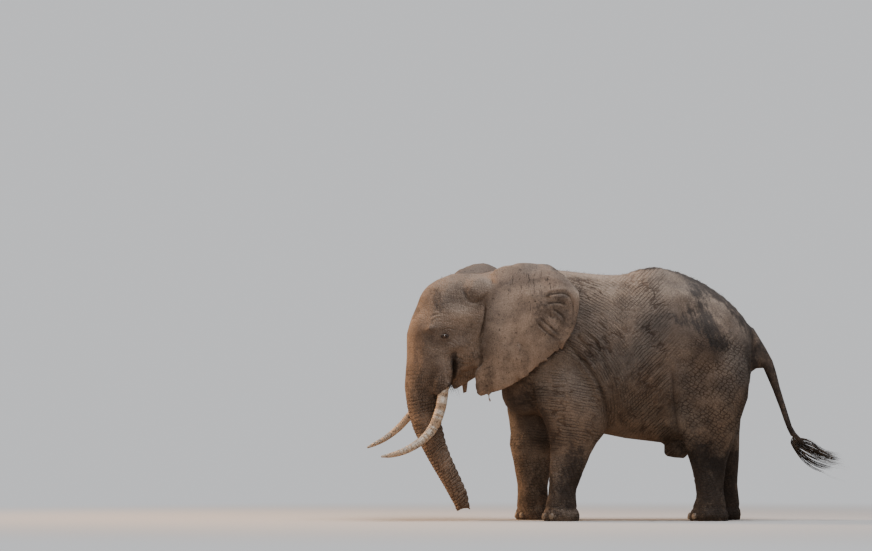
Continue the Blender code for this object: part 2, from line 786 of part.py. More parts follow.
def build():
    clear_scene()
    model = new_collection(COLLECTION)
    cutters = new_collection(COLLECTION + "_cutters")
    skin = principled("skin", SKIN_COLOUR, 0.8)
    ear_skin = principled("ear_skin", EAR_COLOUR, 0.8)
    ivory = principled("ivory", IVORY_COLOUR, 0.45)
    horn = principled("nail", NAIL_COLOUR, 0.55)
    hair = principled("tail_hair", HAIR_COLOUR, 0.6)
    glossy = principled("eye", EYE_COLOUR, 0.1)

    masses = [torso_mass(), neck_mass(), *single_masses()]
    for bm in body_masses():
        masses += [bm, mirrored(bm)]
    for side in (1, -1):
        masses.append(leg_mass(FORELEG, FORE_TRACK, side, FORE_STEP))
        masses.append(leg_mass(HINDLEG, HIND_TRACK, side, HIND_STEP))
    head = (head_mass(), trunk_mass(), jaw_mass(), *head_masses())
    masses += [turned(bm, HEAD_TURN) for bm in head]
    flesh = as_cutter(fuse(masses, cutters))

    body_cutter = inflated(flesh, cutters, 3 * GAP)
    add_ears(body_cutter, model, ear_skin)
    add_tail(body_cutter, model, cutters, skin, hair)
    add_tusks(flesh, model, cutters, ivory)
    add_eyes(flesh, model, cutters, glossy)
    add_nails(flesh, model, cutters, horn)
    part_flesh(flesh, cutters, model, skin)
    stand_on_origin(model)


build()
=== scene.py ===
# %% [markdown]
# # African bush elephant, an adult bull
#
# The frame holds the animal as plain solids. This lesson gives it its hide, eyes, ivory, nails and hair.
# The hide comes first: one closed skin over head, trunk, body, legs, ears and tail, sculpted in code from
# large forms down to folds and rings. The net of wrinkles that covers it all is left to the material's
# bump.

# %% Load the frame
import json
import math

import bmesh
import bpy
import numpy as np
from mathutils import Matrix, Vector
from mathutils.bvhtree import BVHTree

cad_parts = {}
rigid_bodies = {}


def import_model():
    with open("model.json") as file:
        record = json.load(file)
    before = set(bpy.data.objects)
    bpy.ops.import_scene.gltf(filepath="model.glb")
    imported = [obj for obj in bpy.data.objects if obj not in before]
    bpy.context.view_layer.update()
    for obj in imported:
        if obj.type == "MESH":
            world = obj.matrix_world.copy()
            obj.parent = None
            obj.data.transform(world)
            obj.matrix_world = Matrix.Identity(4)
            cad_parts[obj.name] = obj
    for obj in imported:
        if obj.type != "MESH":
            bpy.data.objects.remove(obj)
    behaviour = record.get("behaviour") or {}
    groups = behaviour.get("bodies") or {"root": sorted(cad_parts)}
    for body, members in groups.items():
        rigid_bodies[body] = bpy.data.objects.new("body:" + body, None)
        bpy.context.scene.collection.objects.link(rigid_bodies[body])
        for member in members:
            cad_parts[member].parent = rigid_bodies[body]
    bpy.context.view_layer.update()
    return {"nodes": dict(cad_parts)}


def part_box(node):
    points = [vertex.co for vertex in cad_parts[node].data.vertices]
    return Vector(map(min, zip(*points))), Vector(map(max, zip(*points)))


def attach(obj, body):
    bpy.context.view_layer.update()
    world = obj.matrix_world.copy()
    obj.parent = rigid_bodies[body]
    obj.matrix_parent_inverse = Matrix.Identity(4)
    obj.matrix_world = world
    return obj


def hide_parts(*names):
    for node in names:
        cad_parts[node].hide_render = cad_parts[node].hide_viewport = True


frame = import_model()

SEED = 7

# %% [markdown]
# ## Landmarks
#
# The animal is not centred on the frame, because its far ear sticks out. Sculpting is easier in two spaces
# of its own. In body space the middle plane is x = 0 and y runs from head to tail. In head space the head
# looks straight ahead, so left and right are mirror images although the head is turned a little.

# %% Body space and head space
RIBS_AT = 0.0906  # where the cut behind the ribs lies in body space
EYES_AT = Vector((0.0, -2.075, 2.335))  # middle of the two eyes in head space
LID_DROP = 0.014  # the lids lie a little below the solids' eyes
EYE_PLACE = EYES_AT - Vector((0.0, 0.0, LID_DROP))

torso_low, torso_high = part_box("torso_middle")
BODY_ORIGIN = Vector(((torso_low.x + torso_high.x) / 2, torso_low.y - RIBS_AT, 0.0))


def box_middle(name):
    low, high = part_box(name)
    return (low + high) / 2


eye_left, eye_right = box_middle("eye_left"), box_middle("eye_right")
across_eyes = eye_left - eye_right
HEAD_YAW = math.atan2(across_eyes.y, across_eyes.x)
head_turn = Matrix.Rotation(HEAD_YAW, 4, "Z")
HEAD_SPACE = Matrix.Translation((eye_left + eye_right) / 2) @ head_turn @ Matrix.Translation(-EYES_AT)
TO_HEAD = np.array(HEAD_SPACE.inverted())


def in_body(points):
    return points - np.array(BODY_ORIGIN)


def in_head(points):
    return points @ TO_HEAD[:3, :3].T + TO_HEAD[:3, 3]


print("body origin", [round(v, 4) for v in BODY_ORIGIN], "head yaw", round(math.degrees(HEAD_YAW), 2))

# %% [markdown]
# ## One skin
#
# The flesh arrives in pieces with hairline slits between them. They could be joined with booleans, but
# those leave uneven faces along every cut. A voxel remesh of all the pieces together closes the slits and
# gives an even grid of small faces, which is what sculpting needs.

# %% Names of the flesh
EARS = ("ear_left", "ear_right")
TRUNK = ("trunk_upper", "trunk_lower", "trunk_tip")
TAIL = ("tail_root", "tail_middle", "tail_end")
TORSO = ("torso_front", "torso_middle", "torso_rear")
FORELEGS = tuple(f"foreleg_{side}_{part}" for side in ("left", "right") for part in ("upper", "lower"))
HINDLEGS = tuple(f"hindleg_{side}_{part}" for side in ("left", "right") for part in ("upper", "lower"))
FLESH = ("head", "lower_jaw", "neck", *TORSO, *TRUNK, *FORELEGS, *HINDLEGS, *TAIL, *EARS)
FULL_VOXEL, QUICK_VOXEL = 0.0085, 0.012
VOXEL = FULL_VOXEL
print("nodes of flesh:", len(FLESH), "voxel", VOXEL)

# %% Copies, joins and finished meshes
MERGE_WITHIN = 1e-5


def node_mesh(name):
    """A merged copy of a node's triangles as a bmesh."""
    bm = bmesh.new()
    bm.from_mesh(frame["nodes"][name].data)
    bmesh.ops.remove_doubles(bm, verts=bm.verts, dist=MERGE_WITHIN)
    return bm


def new_object(name, bm):
    mesh = bpy.data.meshes.new(name)
    bm.to_mesh(mesh)
    bm.free()
    mesh.shade_smooth()
    obj = bpy.data.objects.new(name, mesh)
    bpy.context.scene.collection.objects.link(obj)
    return obj


def joined(names):
    """All the named nodes in one bmesh, and the node that each face comes from."""
    whole = bmesh.new()
    sources = []
    for name in names:
        bm = node_mesh(name)
        mesh = bpy.data.meshes.new("piece")
        bm.to_mesh(mesh)
        bm.free()
        whole.from_mesh(mesh)
        sources += [name] * (len(whole.faces) - len(sources))
        bpy.data.meshes.remove(mesh)
    return whole, sources


def apply_modifiers(obj):
    graph = bpy.context.evaluated_depsgraph_get()
    baked = bpy.data.meshes.new_from_object(obj.evaluated_get(graph))
    old = obj.data
    obj.modifiers.clear()
    obj.data = baked
    bpy.data.meshes.remove(old)


flesh_bm, face_source = joined(FLESH)
print("faces of flesh:", len(flesh_bm.faces))

# %% [markdown]
# ## Rods under the skin
#
# Some soft parts are fuller than the solids: the tail and the skin under its root, the sheath and the
# groin, the near ear's root, a small tag of skin that hangs from that ear, and the sockets that the tusks
# grow from. They could be raised by sculpting, but a push along the surface adds no length. So each is a
# tube joined to the flesh before the remesh, which then grows out of it with no seam. A row is x, y, z and
# radius.

# %% A tube through rows


def attribute_of(bm, name):
    return bm.verts.layers.float.get(name) or bm.verts.layers.float.new(name)


def tube(bm, rows, sides):
    """A closed tube through rows of x, y, z and radius: a disc extruded once for every row."""
    centres = [Vector(row[:3]) for row in rows]
    last = len(rows) - 1
    turn_layer, along_layer = attribute_of(bm, "turn"), attribute_of(bm, "along")
    disc = bmesh.ops.create_circle(bm, cap_ends=True, segments=sides, radius=1.0)["verts"]
    for vert in disc:
        vert[turn_layer] = math.atan2(vert.co.y, vert.co.x)
    face = disc[0].link_faces[0]
    for index, (centre, row) in enumerate(zip(centres, rows)):
        if index > 0:
            extruded = bmesh.ops.extrude_face_region(bm, geom=[face])["geom"]
            face = next(item for item in extruded if isinstance(item, bmesh.types.BMFace))
        ahead = centres[min(index + 1, last)] - centres[max(index - 1, 0)]
        across = ahead.cross(Vector((1, 0, 0))).normalized()
        other = ahead.cross(across).normalized()
        for vert in face.verts:
            turn = vert[turn_layer]
            vert.co = centre + float(row[3]) * (math.cos(turn) * across + math.sin(turn) * other)
            vert[along_layer] = index / last


# %% Rods of the body, in body space
ROD_SIDES = 12
EAR_TAG = (
    (0.37, -1.352, 1.495, 0.012),
    (0.375, -1.352, 1.545, 0.014),
    (0.37, -1.356, 1.59, 0.012),
    (0.368, -1.36, 1.66, 0.016),
)
FULL_TAIL = (
    (0, 2.60, 0.958, 0.026),
    (0, 2.545, 1.00, 0.030),
    (0, 2.445, 1.10, 0.034),
    (0, 2.397, 1.19, 0.036),
    (0, 2.322, 1.42, 0.041),
    (0, 2.232, 1.68, 0.050),
    (0, 2.140, 1.94, 0.066),
    (0, 2.03, 2.12, 0.075),
)
UNDER_TAIL = ((0, 2.035, 1.925, 0.030), (0, 2.03, 1.96, 0.052), (0, 1.99, 2.10, 0.070))
BELLY_SHEATH = (
    (0, 0.870, 0.805, 0.052),
    (0, 0.875, 0.84, 0.072),
    (0, 0.90, 0.95, 0.095),
    (0, 0.93, 1.08, 0.13),
)
GROIN = ((0.05, 0.99, 0.79, 0.085), (0.05, 1.00, 0.86, 0.11), (0.05, 1.02, 1.00, 0.14))
EAR_ROOT = (
    (0.34, -1.34, 2.90, 0.10),
    (0.32, -1.33, 3.03, 0.10),
    (0.31, -1.30, 3.12, 0.08),
    (0.33, -1.22, 3.17, 0.055),
    (0.36, -1.10, 3.185, 0.045),
)
BODY_RODS = (
    ("ear_left", EAR_TAG),
    ("tail_middle", FULL_TAIL),
    ("tail_root", UNDER_TAIL),
    ("torso_rear", BELLY_SHEATH),
    ("torso_rear", GROIN),
    ("head", EAR_ROOT),
)


def name_new_faces(source):
    """Note which part of the animal the faces added since the last note belong to."""
    face_source.extend([source] * (len(flesh_bm.faces) - len(face_source)))


for source, rows in BODY_RODS:
    tube(flesh_bm, [(*(BODY_ORIGIN + Vector(row[:3])), row[3]) for row in rows], ROD_SIDES)
    name_new_faces(source)
print("faces with the rods of the body:", len(flesh_bm.faces))

# %% Sockets of the tusks, in head space
SOCKET_SIDES = 16
SOCKET = (
    (0.26, -2.03, 2.06, 0.115),
    (0.275, -2.065, 1.88, 0.110),
    (0.285, -2.115, 1.72, 0.104),
    (0.288, -2.125, 1.65, 0.092),
    (0.290, -2.135, 1.58, 0.070),
)
SOCKET_SHIFT = {1: 0.0, -1: -0.03}  # the far tusk grows a little further ahead

for side, shift in SOCKET_SHIFT.items():
    rows = [(*(HEAD_SPACE @ Vector((side * x, y + shift, z))), radius) for x, y, z, radius in SOCKET]
    tube(flesh_bm, rows, SOCKET_SIDES)
name_new_faces("head")
print("faces with the sockets:", len(flesh_bm.faces))

# %% Remesh
for name in ("turn", "along"):
    flesh_bm.verts.layers.float.remove(flesh_bm.verts.layers.float[name])
bmesh.ops.recalc_face_normals(flesh_bm, faces=flesh_bm.faces)
flesh_tree = BVHTree.FromBMesh(flesh_bm)
skin = new_object("skin", flesh_bm)
remesh = skin.modifiers.new("remesh", "REMESH")
remesh.mode = "VOXEL"
remesh.voxel_size = VOXEL
apply_modifiers(skin)
print("skin after remesh:", len(skin.data.vertices), "vertices")

# %% [markdown]
# ## Reading and moving a mesh
#
# Sculpting by hand can't be repeated, so here it is done in code: every vertex is read into an array, a
# formula works out how far each should move, and the array is written back.

# %% Arrays of a mesh


def positions(obj):
    co = np.empty(len(obj.data.vertices) * 3, np.float32)
    obj.data.vertices.foreach_get("co", co)
    return co.reshape(-1, 3).astype(np.float64)


def normals(obj):
    obj.data.update()
    no = np.empty(len(obj.data.vertices) * 3, np.float32)
    obj.data.vertex_normals.foreach_get("vector", no)
    return no.reshape(-1, 3).astype(np.float64)


def write_positions(obj, co):
    obj.data.vertices.foreach_set("co", co.astype(np.float32).ravel())
    obj.data.update()


def edges_of(obj):
    ends = np.empty(len(obj.data.edges) * 2, np.int32)
    obj.data.edges.foreach_get("vertices", ends)
    return ends.reshape(-1, 2)


print("edges of the skin:", len(edges_of(skin)))

# %% [markdown]
# ## Regions
#
# Folds of the trunk must not run on over the cheek, so each vertex has region weights, which say how much
# it belongs to the trunk, an ear or a leg. Painting them by hand would be lost with the next remesh. Here
# they start as the nearest piece of flesh, and are then spread over the surface until their borders are
# soft.

# %% Region weights


def spread(values, edges, times):
    """Values averaged with those of their neighbours, several times over."""
    count = np.bincount(edges.ravel(), minlength=len(values)) + 1e-9
    for _ in range(times):
        total = np.bincount(edges[:, 0], weights=values[edges[:, 1]], minlength=len(values))
        total += np.bincount(edges[:, 1], weights=values[edges[:, 0]], minlength=len(values))
        values = 0.5 * values + 0.5 * total / count
    return values


REGIONS = {
    "ear_left": ("ear_left",),
    "ear_right": ("ear_right",),
    "trunk": TRUNK,
    "tail": TAIL,
    "fore": FORELEGS,
    "hind": HINDLEGS,
    "head": ("head", "lower_jaw"),
}


def region_weights(obj, times):
    """How much each vertex belongs to each region, from 0 to 1."""
    nearest = [face_source[flesh_tree.find_nearest(v.co)[2]] for v in obj.data.vertices]
    edges = edges_of(obj)
    names = np.array(nearest)
    inside = {region: np.isin(names, nodes).astype(float) for region, nodes in REGIONS.items()}
    return {region: spread(share, edges, times) for region, share in inside.items()}


def step(values, low, high):
    """0 below low, 1 above high, smooth between."""
    t = np.clip((values - low) / (high - low), 0, 1)
    return t * t * (3 - 2 * t)


def hill(values, middle, width):
    return np.exp(-(((values - middle) / width) ** 2))


weights = region_weights(skin, 12)
print({name: round(float(w.mean()), 3) for name, w in weights.items()})

# %% [markdown]
# ## Smoothing the facets away
#
# The solids are made of flat triangles a hand wide. Subdivision would keep their corners on a remeshed
# grid, so a Smooth modifier rounds them off. It would also eat thin things, so a vertex group holds it
# back on the tail, the trunk's tip, the feet and the rims of the ears. A rim is found by its normal: on an
# ear's two faces it points along the ear's thin direction, on the rim not.

# %% Smooth by weight


def thin_direction(name):
    """The direction in which the node is thinnest."""
    co = np.array([v.co for v in frame["nodes"][name].data.vertices])
    return np.linalg.svd(co - co.mean(axis=0), full_matrices=False)[2][2]


def set_group(obj, name, values):
    """A vertex group in ten steps of weight."""
    group = obj.vertex_groups.new(name=name)
    steps = np.round(np.clip(values, 0, 1) * 10).astype(int)
    for level in range(1, 11):
        group.add(np.nonzero(steps == level)[0].tolist(), level / 10, "REPLACE")


def smooth(obj, group, share, times):
    """Smooth where the share is high. A finer grid needs more turns for the same softness."""
    set_group(obj, group, share)
    modifier = obj.modifiers.new("smooth", "SMOOTH")
    modifier.vertex_group = group
    modifier.factor = 0.5
    modifier.iterations = int(times * (FULL_VOXEL / VOXEL) ** 2)
    apply_modifiers(obj)


def softness(obj, weights):
    """How far smoothing may go at each vertex."""
    co, no = positions(obj), normals(obj)
    edges = edges_of(obj)
    soft = np.ones(len(co))
    soft -= 0.72 * weights["trunk"] + 0.35 * weights["fore"] + 0.35 * weights["hind"] + 0.30 * weights["head"]
    soft = np.minimum(soft, 1 - 0.93 * np.sqrt(weights["tail"]))
    soft *= 1 - 0.9 * step(-co[:, 2], -0.10, -0.02)
    for ear in EARS:
        facing = np.abs(no @ thin_direction(ear))
        rim = 1 - step(facing, 0.55, 0.85)
        rim = np.clip(3.0 * spread(rim, edges, 6), 0, 1)
        soft *= 1 - weights[ear] * (0.35 + 0.6 * rim)
    return np.clip(soft, 0.02, 1)


smooth(skin, "soft", softness(skin, weights), 130)
co = positions(skin)
print("skin after smoothing:", co.min(axis=0).round(3), co.max(axis=0).round(3))

# %% Blend the tusks' sockets and the ear's root
SOCKETS_MIDDLE, SOCKETS_REACH = np.array((-2.27, 1.56)), np.array((0.13, 0.24))
EAR_ROOT_AT = -1.36

head = in_head(positions(skin))
gap = np.linalg.norm((head[:, 1:] - SOCKETS_MIDDLE) / SOCKETS_REACH, axis=1)
smooth(skin, "sockets", 1 - step(gap, 0.6, 1.2), 70)
body = in_body(positions(skin))
beside = 1 - step(np.abs(body[:, 1] - EAR_ROOT_AT), 0.09, 0.20)
smooth(skin, "ear_root", step(body[:, 2], 2.74, 2.92) * beside * step(body[:, 0], 0, 0.1), 110)
print("smoothed at the sockets:", int((gap < 1.2).sum()), "vertices")

# %% [markdown]
# ## A finer grid round the eyes
#
# Eyelids need faces a few millimetres wide. A grid that fine over the whole animal would be millions of
# faces, so only the skin within a hand's width of each eye is divided again.

# %% Refine
EYES = (np.array(eye_left), np.array(eye_right))
LID_REACH = 0.085
NARROWER, EVEN_TURNS = 0.15, 6
ALL_AXES = {"use_axis_x": True, "use_axis_y": True, "use_axis_z": True}


def refine(obj, centres, reach, times):
    """Divide the faces near the centres into four, several times over, then even them out."""
    bm = bmesh.new()
    bm.from_mesh(obj.data)
    for turn in range(times):
        co = np.array([v.co for v in bm.verts])
        near = np.zeros(len(co), bool)
        for centre in centres:
            near |= np.linalg.norm(co - centre, axis=1) < reach * (1 - NARROWER * turn)
        edges = [e for e in bm.edges if near[e.verts[0].index] and near[e.verts[1].index]]
        bmesh.ops.subdivide_edges(bm, edges=edges, cuts=1, use_grid_fill=True)
        bm.verts.index_update()
    chosen = [v for v in bm.verts if min((v.co - Vector(c)).length for c in centres) < reach]
    for _ in range(EVEN_TURNS):
        bmesh.ops.smooth_vert(bm, verts=chosen, factor=0.5, **ALL_AXES)
    bm.to_mesh(obj.data)
    bm.free()
    obj.data.shade_smooth()


refine(skin, EYES, LID_REACH, 2)
print("skin after refining:", len(skin.data.vertices), "vertices")

# %% [markdown]
# ## Sculpting tools
#
# A form is pushed out or in along the surface's normal. A mound raises a rounded area. A crease follows a
# short curve drawn on the side view and digs a valley with a low bank on each side, fading at its ends. A
# displacement texture could do the same, but it can't be asked how deep it is at a point. These functions
# can, and later their depth paints shade into the bottoms of the folds.

# %% Curves


def curve_through(points, steps=8):
    """A smooth curve through the points."""
    points = np.array(points, float)
    padded = np.vstack([2 * points[0] - points[1], points, 2 * points[-1] - points[-2]])
    made = []
    for a, b, c, d in zip(padded, padded[1:], padded[2:], padded[3:]):
        for t in np.arange(steps) / steps:
            square, cube = (2 * a - 5 * b + 4 * c - d) * t**2, (3 * b - a - 3 * c + d) * t**3
            made.append(0.5 * (2 * b + (c - a) * t + square + cube))
    return np.array(made + [points[-1]])


def along_curve(points, path):
    """For each 2-D point its distance to the path and how far along the path it is, from 0 to 1."""
    curve = curve_through(path)
    lengths = np.linalg.norm(np.diff(curve, axis=0), axis=1)
    starts = np.concatenate([[0], np.cumsum(lengths)])
    best = np.full(len(points), 1e9)
    share = np.zeros(len(points))
    for a, b, length, start in zip(curve, curve[1:], lengths, starts):
        t = np.clip((points - a) @ (b - a) / length**2, 0, 1)
        away = np.linalg.norm(points - a - t[:, None] * (b - a), axis=1)
        nearer = away < best
        best[nearer] = away[nearer]
        share[nearer] = (start + t[nearer] * length) / starts[-1]
    return best, share


print("points on a curve through three:", len(curve_through(((0, 0), (1, 1), (2, 0)))))

# %% Creases, mounds and waves


def crease(points, path, width, depth, taper=0.25):
    """Push of a fold along a path: a valley with a low bank on each side, fading at its ends."""
    path = np.array(path, float)
    reach = 5 * width  # beyond it the push is nothing
    near = np.all((points > path.min(axis=0) - reach) & (points < path.max(axis=0) + reach), axis=1)
    push = np.zeros(len(points))
    away, share = along_curve(points[near], path)
    ends = step(share, 0, taper) * step(1 - share, 0, taper)
    valley = np.exp(-((away / width) ** 2))
    bank = np.exp(-(((away - 2.3 * width) / (1.3 * width)) ** 2))
    push[near] = depth * ends * (0.4 * bank - valley)
    return push


def mound(points, middle, radii, height):
    """Push of a rounded hill on 2-D points, or of a hollow if its height is negative."""
    gap = (points - np.array(middle)) / np.array(radii)
    return height * np.exp(-(gap**2).sum(axis=1))


def added(push_of, points, rows, total=0.0):
    """The pushes of a list of creases or mounds, added to a total."""
    for row in rows:
        total = total + push_of(points, *row)
    return total


def wobble(points, size, seed, terms=7):
    """Smooth noise from -1 to 1 whose waves are about this size."""
    random = np.random.default_rng(seed)
    total = np.zeros(len(points))
    for _ in range(terms):
        way = random.normal(size=points.shape[1])
        way *= random.uniform(0.7, 1.5) * 2 * math.pi / (size * np.linalg.norm(way))
        total += np.sin(points @ way + random.uniform(0, 2 * math.pi))
    return total / terms * 1.6


test_line = np.stack([np.linspace(-0.1, 0.1, 5), np.zeros(5)], axis=1)
print("a crease across:", crease(test_line, ((0, -0.1), (0, 0.1)), 0.02, 0.01).round(4))

# %% [markdown]
# ## Body and legs
#
# Behind the shoulder the hide hangs in deep curved folds. At the flank slanting folds run down from the
# thigh, whose front edge is a long upright crease. The knees and wrists wrinkle across, and each foot
# swells above its sole. Cloth simulation would make other folds with each run, so they are drawn: the
# lists give each fold as a few points, tail-ward and up, then its width and depth.

# %% Folds of the body
BODY_FOLDS = (
    (((-0.45, 2.24), (-0.25, 2.03), (-0.11, 1.85), (-0.01, 1.64), (0.07, 1.36), (0.08, 1.18)), 0.019, 0.036),
    (((-0.36, 2.38), (-0.23, 2.23), (-0.13, 2.08), (-0.07, 1.90), (-0.02, 1.72)), 0.014, 0.013),
    (((-0.27, 2.43), (-0.11, 2.30), (-0.01, 2.10), (0.07, 1.89), (0.13, 1.63), (0.16, 1.36)), 0.016, 0.015),
    (((0.00, 2.34), (0.10, 2.10), (0.17, 1.86), (0.21, 1.60)), 0.013, 0.006),
    (((-0.38, 2.16), (-0.20, 1.94), (-0.09, 1.74), (-0.03, 1.50)), 0.012, 0.007),
    (((0.86, 1.98), (0.89, 1.80), (0.90, 1.62), (0.915, 1.44), (0.94, 1.22), (0.99, 1.04)), 0.022, 0.034),
    (((0.88, 1.93), (0.64, 1.63), (0.35, 1.37)), 0.013, 0.008),
    (((0.90, 1.71), (0.70, 1.47), (0.50, 1.26)), 0.013, 0.009),
    (((0.82, 2.07), (0.62, 1.86), (0.44, 1.66), (0.28, 1.48)), 0.012, 0.006),
    (((0.92, 1.54), (0.80, 1.38), (0.66, 1.23)), 0.012, 0.008),
    (((0.91, 1.80), (0.74, 1.62), (0.52, 1.42)), 0.011, 0.005),
    (((0.93, 1.40), (0.86, 1.28), (0.76, 1.17)), 0.012, 0.007),
    (((0.64, 1.13), (0.80, 1.16), (0.89, 1.09), (0.99, 0.94)), 0.022, 0.016),
    (((1.86, 1.90), (1.83, 1.65), (1.78, 1.42)), 0.018, 0.009),
)
BODY_HOLLOWS = (
    ((0.98, 2.62), (0.22, 0.16), -0.022),
    ((0.78, 2.10), (0.20, 0.34), -0.014),
    ((-0.08, 2.62), (0.20, 0.26), -0.020),
    ((1.66, 2.42), (0.10, 0.20), -0.014),
)
RIB_GAP, RIB_DEPTH = 0.17, 0.004
VERTEBRA_GAP, VERTEBRA_HEIGHT, SPINE_WIDTH = 0.095, 0.003, 0.055


def body_folds(body):
    """Push of the folds, ribs and hollows on both sides of the body."""
    side_view = body[:, 1:]
    push = added(crease, side_view, BODY_FOLDS)
    outer = step(np.abs(body[:, 0]), 0.22, 0.40)
    ribs = RIB_DEPTH * np.sin(2 * math.pi * (body[:, 1] - 0.25 * body[:, 2]) / RIB_GAP)
    ribs *= hill(body[:, 1], 0.42, 0.34) * hill(body[:, 2], 1.95, 0.45)
    return outer * (push + ribs + added(mound, side_view, BODY_HOLLOWS))


def spine(body):
    """The row of vertebrae that shows along the back."""
    uneven = body[:, 1] + 0.03 * wobble(body[:, 1:2], 0.5, 9)
    row = VERTEBRA_HEIGHT * np.sin(2 * math.pi * uneven / VERTEBRA_GAP) * step(body[:, 1], 0.0, 0.4)
    ridge = 0.004 * step(body[:, 1], 0.9, 1.2)
    return (row + ridge) * hill(body[:, 0], 0, SPINE_WIDTH) * step(body[:, 2], 2.2, 2.5)


print("folds of the body:", len(BODY_FOLDS), "deepest", max(depth for _, _, depth in BODY_FOLDS))

# %% Folds of the legs
LEG_RINGS = (
    (0.34, 0.004),
    (0.41, 0.005),
    (0.47, 0.005),
    (0.54, 0.007),
    (0.61, 0.007),
    (0.69, 0.007),
    (0.78, 0.006),
)
RING_WIDTH = 0.011
SOLE_GROOVE_AT, FOOT_SWELL_AT = 0.158, 0.085
HOLLOW_MIDDLE, HOLLOW_REACH = (0.02, 0.92), (0.13, 0.17)


def foreleg_fullness(body, weights):
    """The forelegs are thicker than the solids, the far one most at its rear. The near elbow is hollow."""
    height = body[:, 2]
    fuller = 0.012 * weights["fore"] * step(height, 0.15, 0.35) * step(-height, -1.4, -1.0)
    fuller = fuller * (1 + 2.2 * step(-body[:, 0], 0, 0.1) * step(body[:, 1], -0.90, -0.75))
    hollow = 0.034 * weights["fore"] * step(body[:, 0], 0, 0.1)
    for values, middle, reach in zip((body[:, 1], height), HOLLOW_MIDDLE, HOLLOW_REACH):
        hollow = hollow * hill(values, middle, reach)
    return fuller - hollow


def leg_folds(body, weights):
    """Wrinkles across wrist and hock, and the swelling of each foot above its sole."""
    level = body[:, 2] + 0.012 * wobble(body, 0.35, 3)
    across = np.zeros(len(body))
    for index, (height, depth) in enumerate(LEG_RINGS):
        there = 0.5 + 0.9 * wobble(body, 0.45, 40 + index)
        across -= depth * np.clip(there, 0, 1) * hill(level, height, RING_WIDTH)
    ring = -0.010 * hill(level, SOLE_GROOVE_AT, 0.020) + 0.008 * hill(level, FOOT_SWELL_AT, 0.045)
    toes = 0.5 + 0.5 * wobble(body[:, :2], 0.16, 5)
    legs = weights["fore"] + weights["hind"]
    above_floor = step(body[:, 2], 0.01, 0.05)
    return foreleg_fullness(body, weights) + legs * above_floor * (across * (0.5 + 0.5 * toes) + ring)


print("rings of a leg at", [height for height, _ in LEG_RINGS])

# %% [markdown]
# ## Head and trunk
#
# Head forms follow the skull: a hollow at the temple, the cheekbone under it, the muscle that carries the
# ear, and the socket of each tusk. They are drawn once on the side view and pressed into both sides alike.

# %% Forms of the head
HEAD_FOLDS = (
    (
        ((-1.83, 2.98), (-1.82, 2.87), (-1.76, 2.76), (-1.66, 2.75), (-1.56, 2.82), (-1.49, 2.92)),
        0.018,
        0.007,
    ),
    (((-2.10, 2.40), (-2.03, 2.42), (-1.96, 2.40)), 0.008, 0.006),
    (((-1.98, 2.30), (-1.93, 2.27), (-1.90, 2.22)), 0.007, 0.005),
    (((-2.06, 2.26), (-1.98, 2.24), (-1.92, 2.18)), 0.008, 0.005),
    (((-1.56, 2.76), (-1.555, 2.60), (-1.58, 2.44), (-1.62, 2.26)), 0.014, 0.028),
    (((-1.952, 2.06), (-1.945, 1.98), (-1.94, 1.86), (-1.94, 1.74), (-1.96, 1.64)), 0.022, 0.060),
    (((-1.95, 2.06), (-1.88, 2.05), (-1.80, 2.01)), 0.012, 0.006),
    (((-1.87, 1.99), (-1.77, 1.97), (-1.66, 1.99)), 0.012, 0.008),
    (((-1.89, 1.90), (-1.79, 1.87), (-1.67, 1.90)), 0.012, 0.008),
    (((-2.24, 2.50), (-2.17, 2.55), (-2.10, 2.54)), 0.010, 0.006),
    (((-2.26, 2.54), (-2.19, 2.59), (-2.12, 2.59)), 0.010, 0.006),
    (((-2.02, 2.06), (-2.00, 1.90), (-1.98, 1.78)), 0.016, 0.008),
    (((-2.08, 2.10), (-2.06, 1.94), (-2.03, 1.84)), 0.014, 0.006),
    (((-2.42, 1.66), (-2.34, 1.64), (-2.24, 1.70), (-2.17, 1.80)), 0.012, 0.004),
    (((-2.43, 1.76), (-2.34, 1.76), (-2.24, 1.83)), 0.012, 0.004),
    (((-2.40, 1.56), (-2.32, 1.53), (-2.22, 1.57), (-2.14, 1.68)), 0.012, 0.004),
)
HEAD_FORMS = (
    ((-1.92, 2.78), (0.13, 0.12), -0.026),
    ((-1.83, 2.60), (0.17, 0.11), 0.016),
    ((-1.64, 2.87), (0.17, 0.09), 0.012),
    ((-2.26, 2.42), (0.07, 0.16), -0.014),
    ((-2.10, 2.22), (0.12, 0.10), -0.016),
    ((-2.12, 1.88), (0.12, 0.20), 0.014),
    ((-1.72, 2.36), (0.10, 0.14), -0.012),
    ((-1.50, 2.10), (0.10, 0.34), -0.070),
)


def head_forms(head):
    """Push of the skull's forms and folds, alike on both sides."""
    side_view = head[:, 1:]
    push = added(crease, side_view, HEAD_FOLDS, added(mound, side_view, HEAD_FORMS))
    return push * step(np.abs(head[:, 0]), 0.08, 0.22)


print("forms of the head:", len(HEAD_FORMS), "folds", len(HEAD_FOLDS))

# %% [markdown]
# ## Rings of the trunk
#
# The trunk is ringed all the way down: narrow rings over its front and sides, and coarser ridges with a
# serrated outline along its underside. A repeated slice would line up too well, so each ring is a wave of
# the distance down the trunk, which drifts a little and bows down at the front.

# %% Rings of the trunk
TRUNK_LINE = ((-2.20, 2.10), (-2.275, 1.66), (-2.232, 1.26), (-2.096, 0.88), (-1.900, 0.50), (-1.748, 0.12))
TRUNK_LENGTH = 2.12
RING_GAP = 0.042
RIDGE_GAP = 0.088


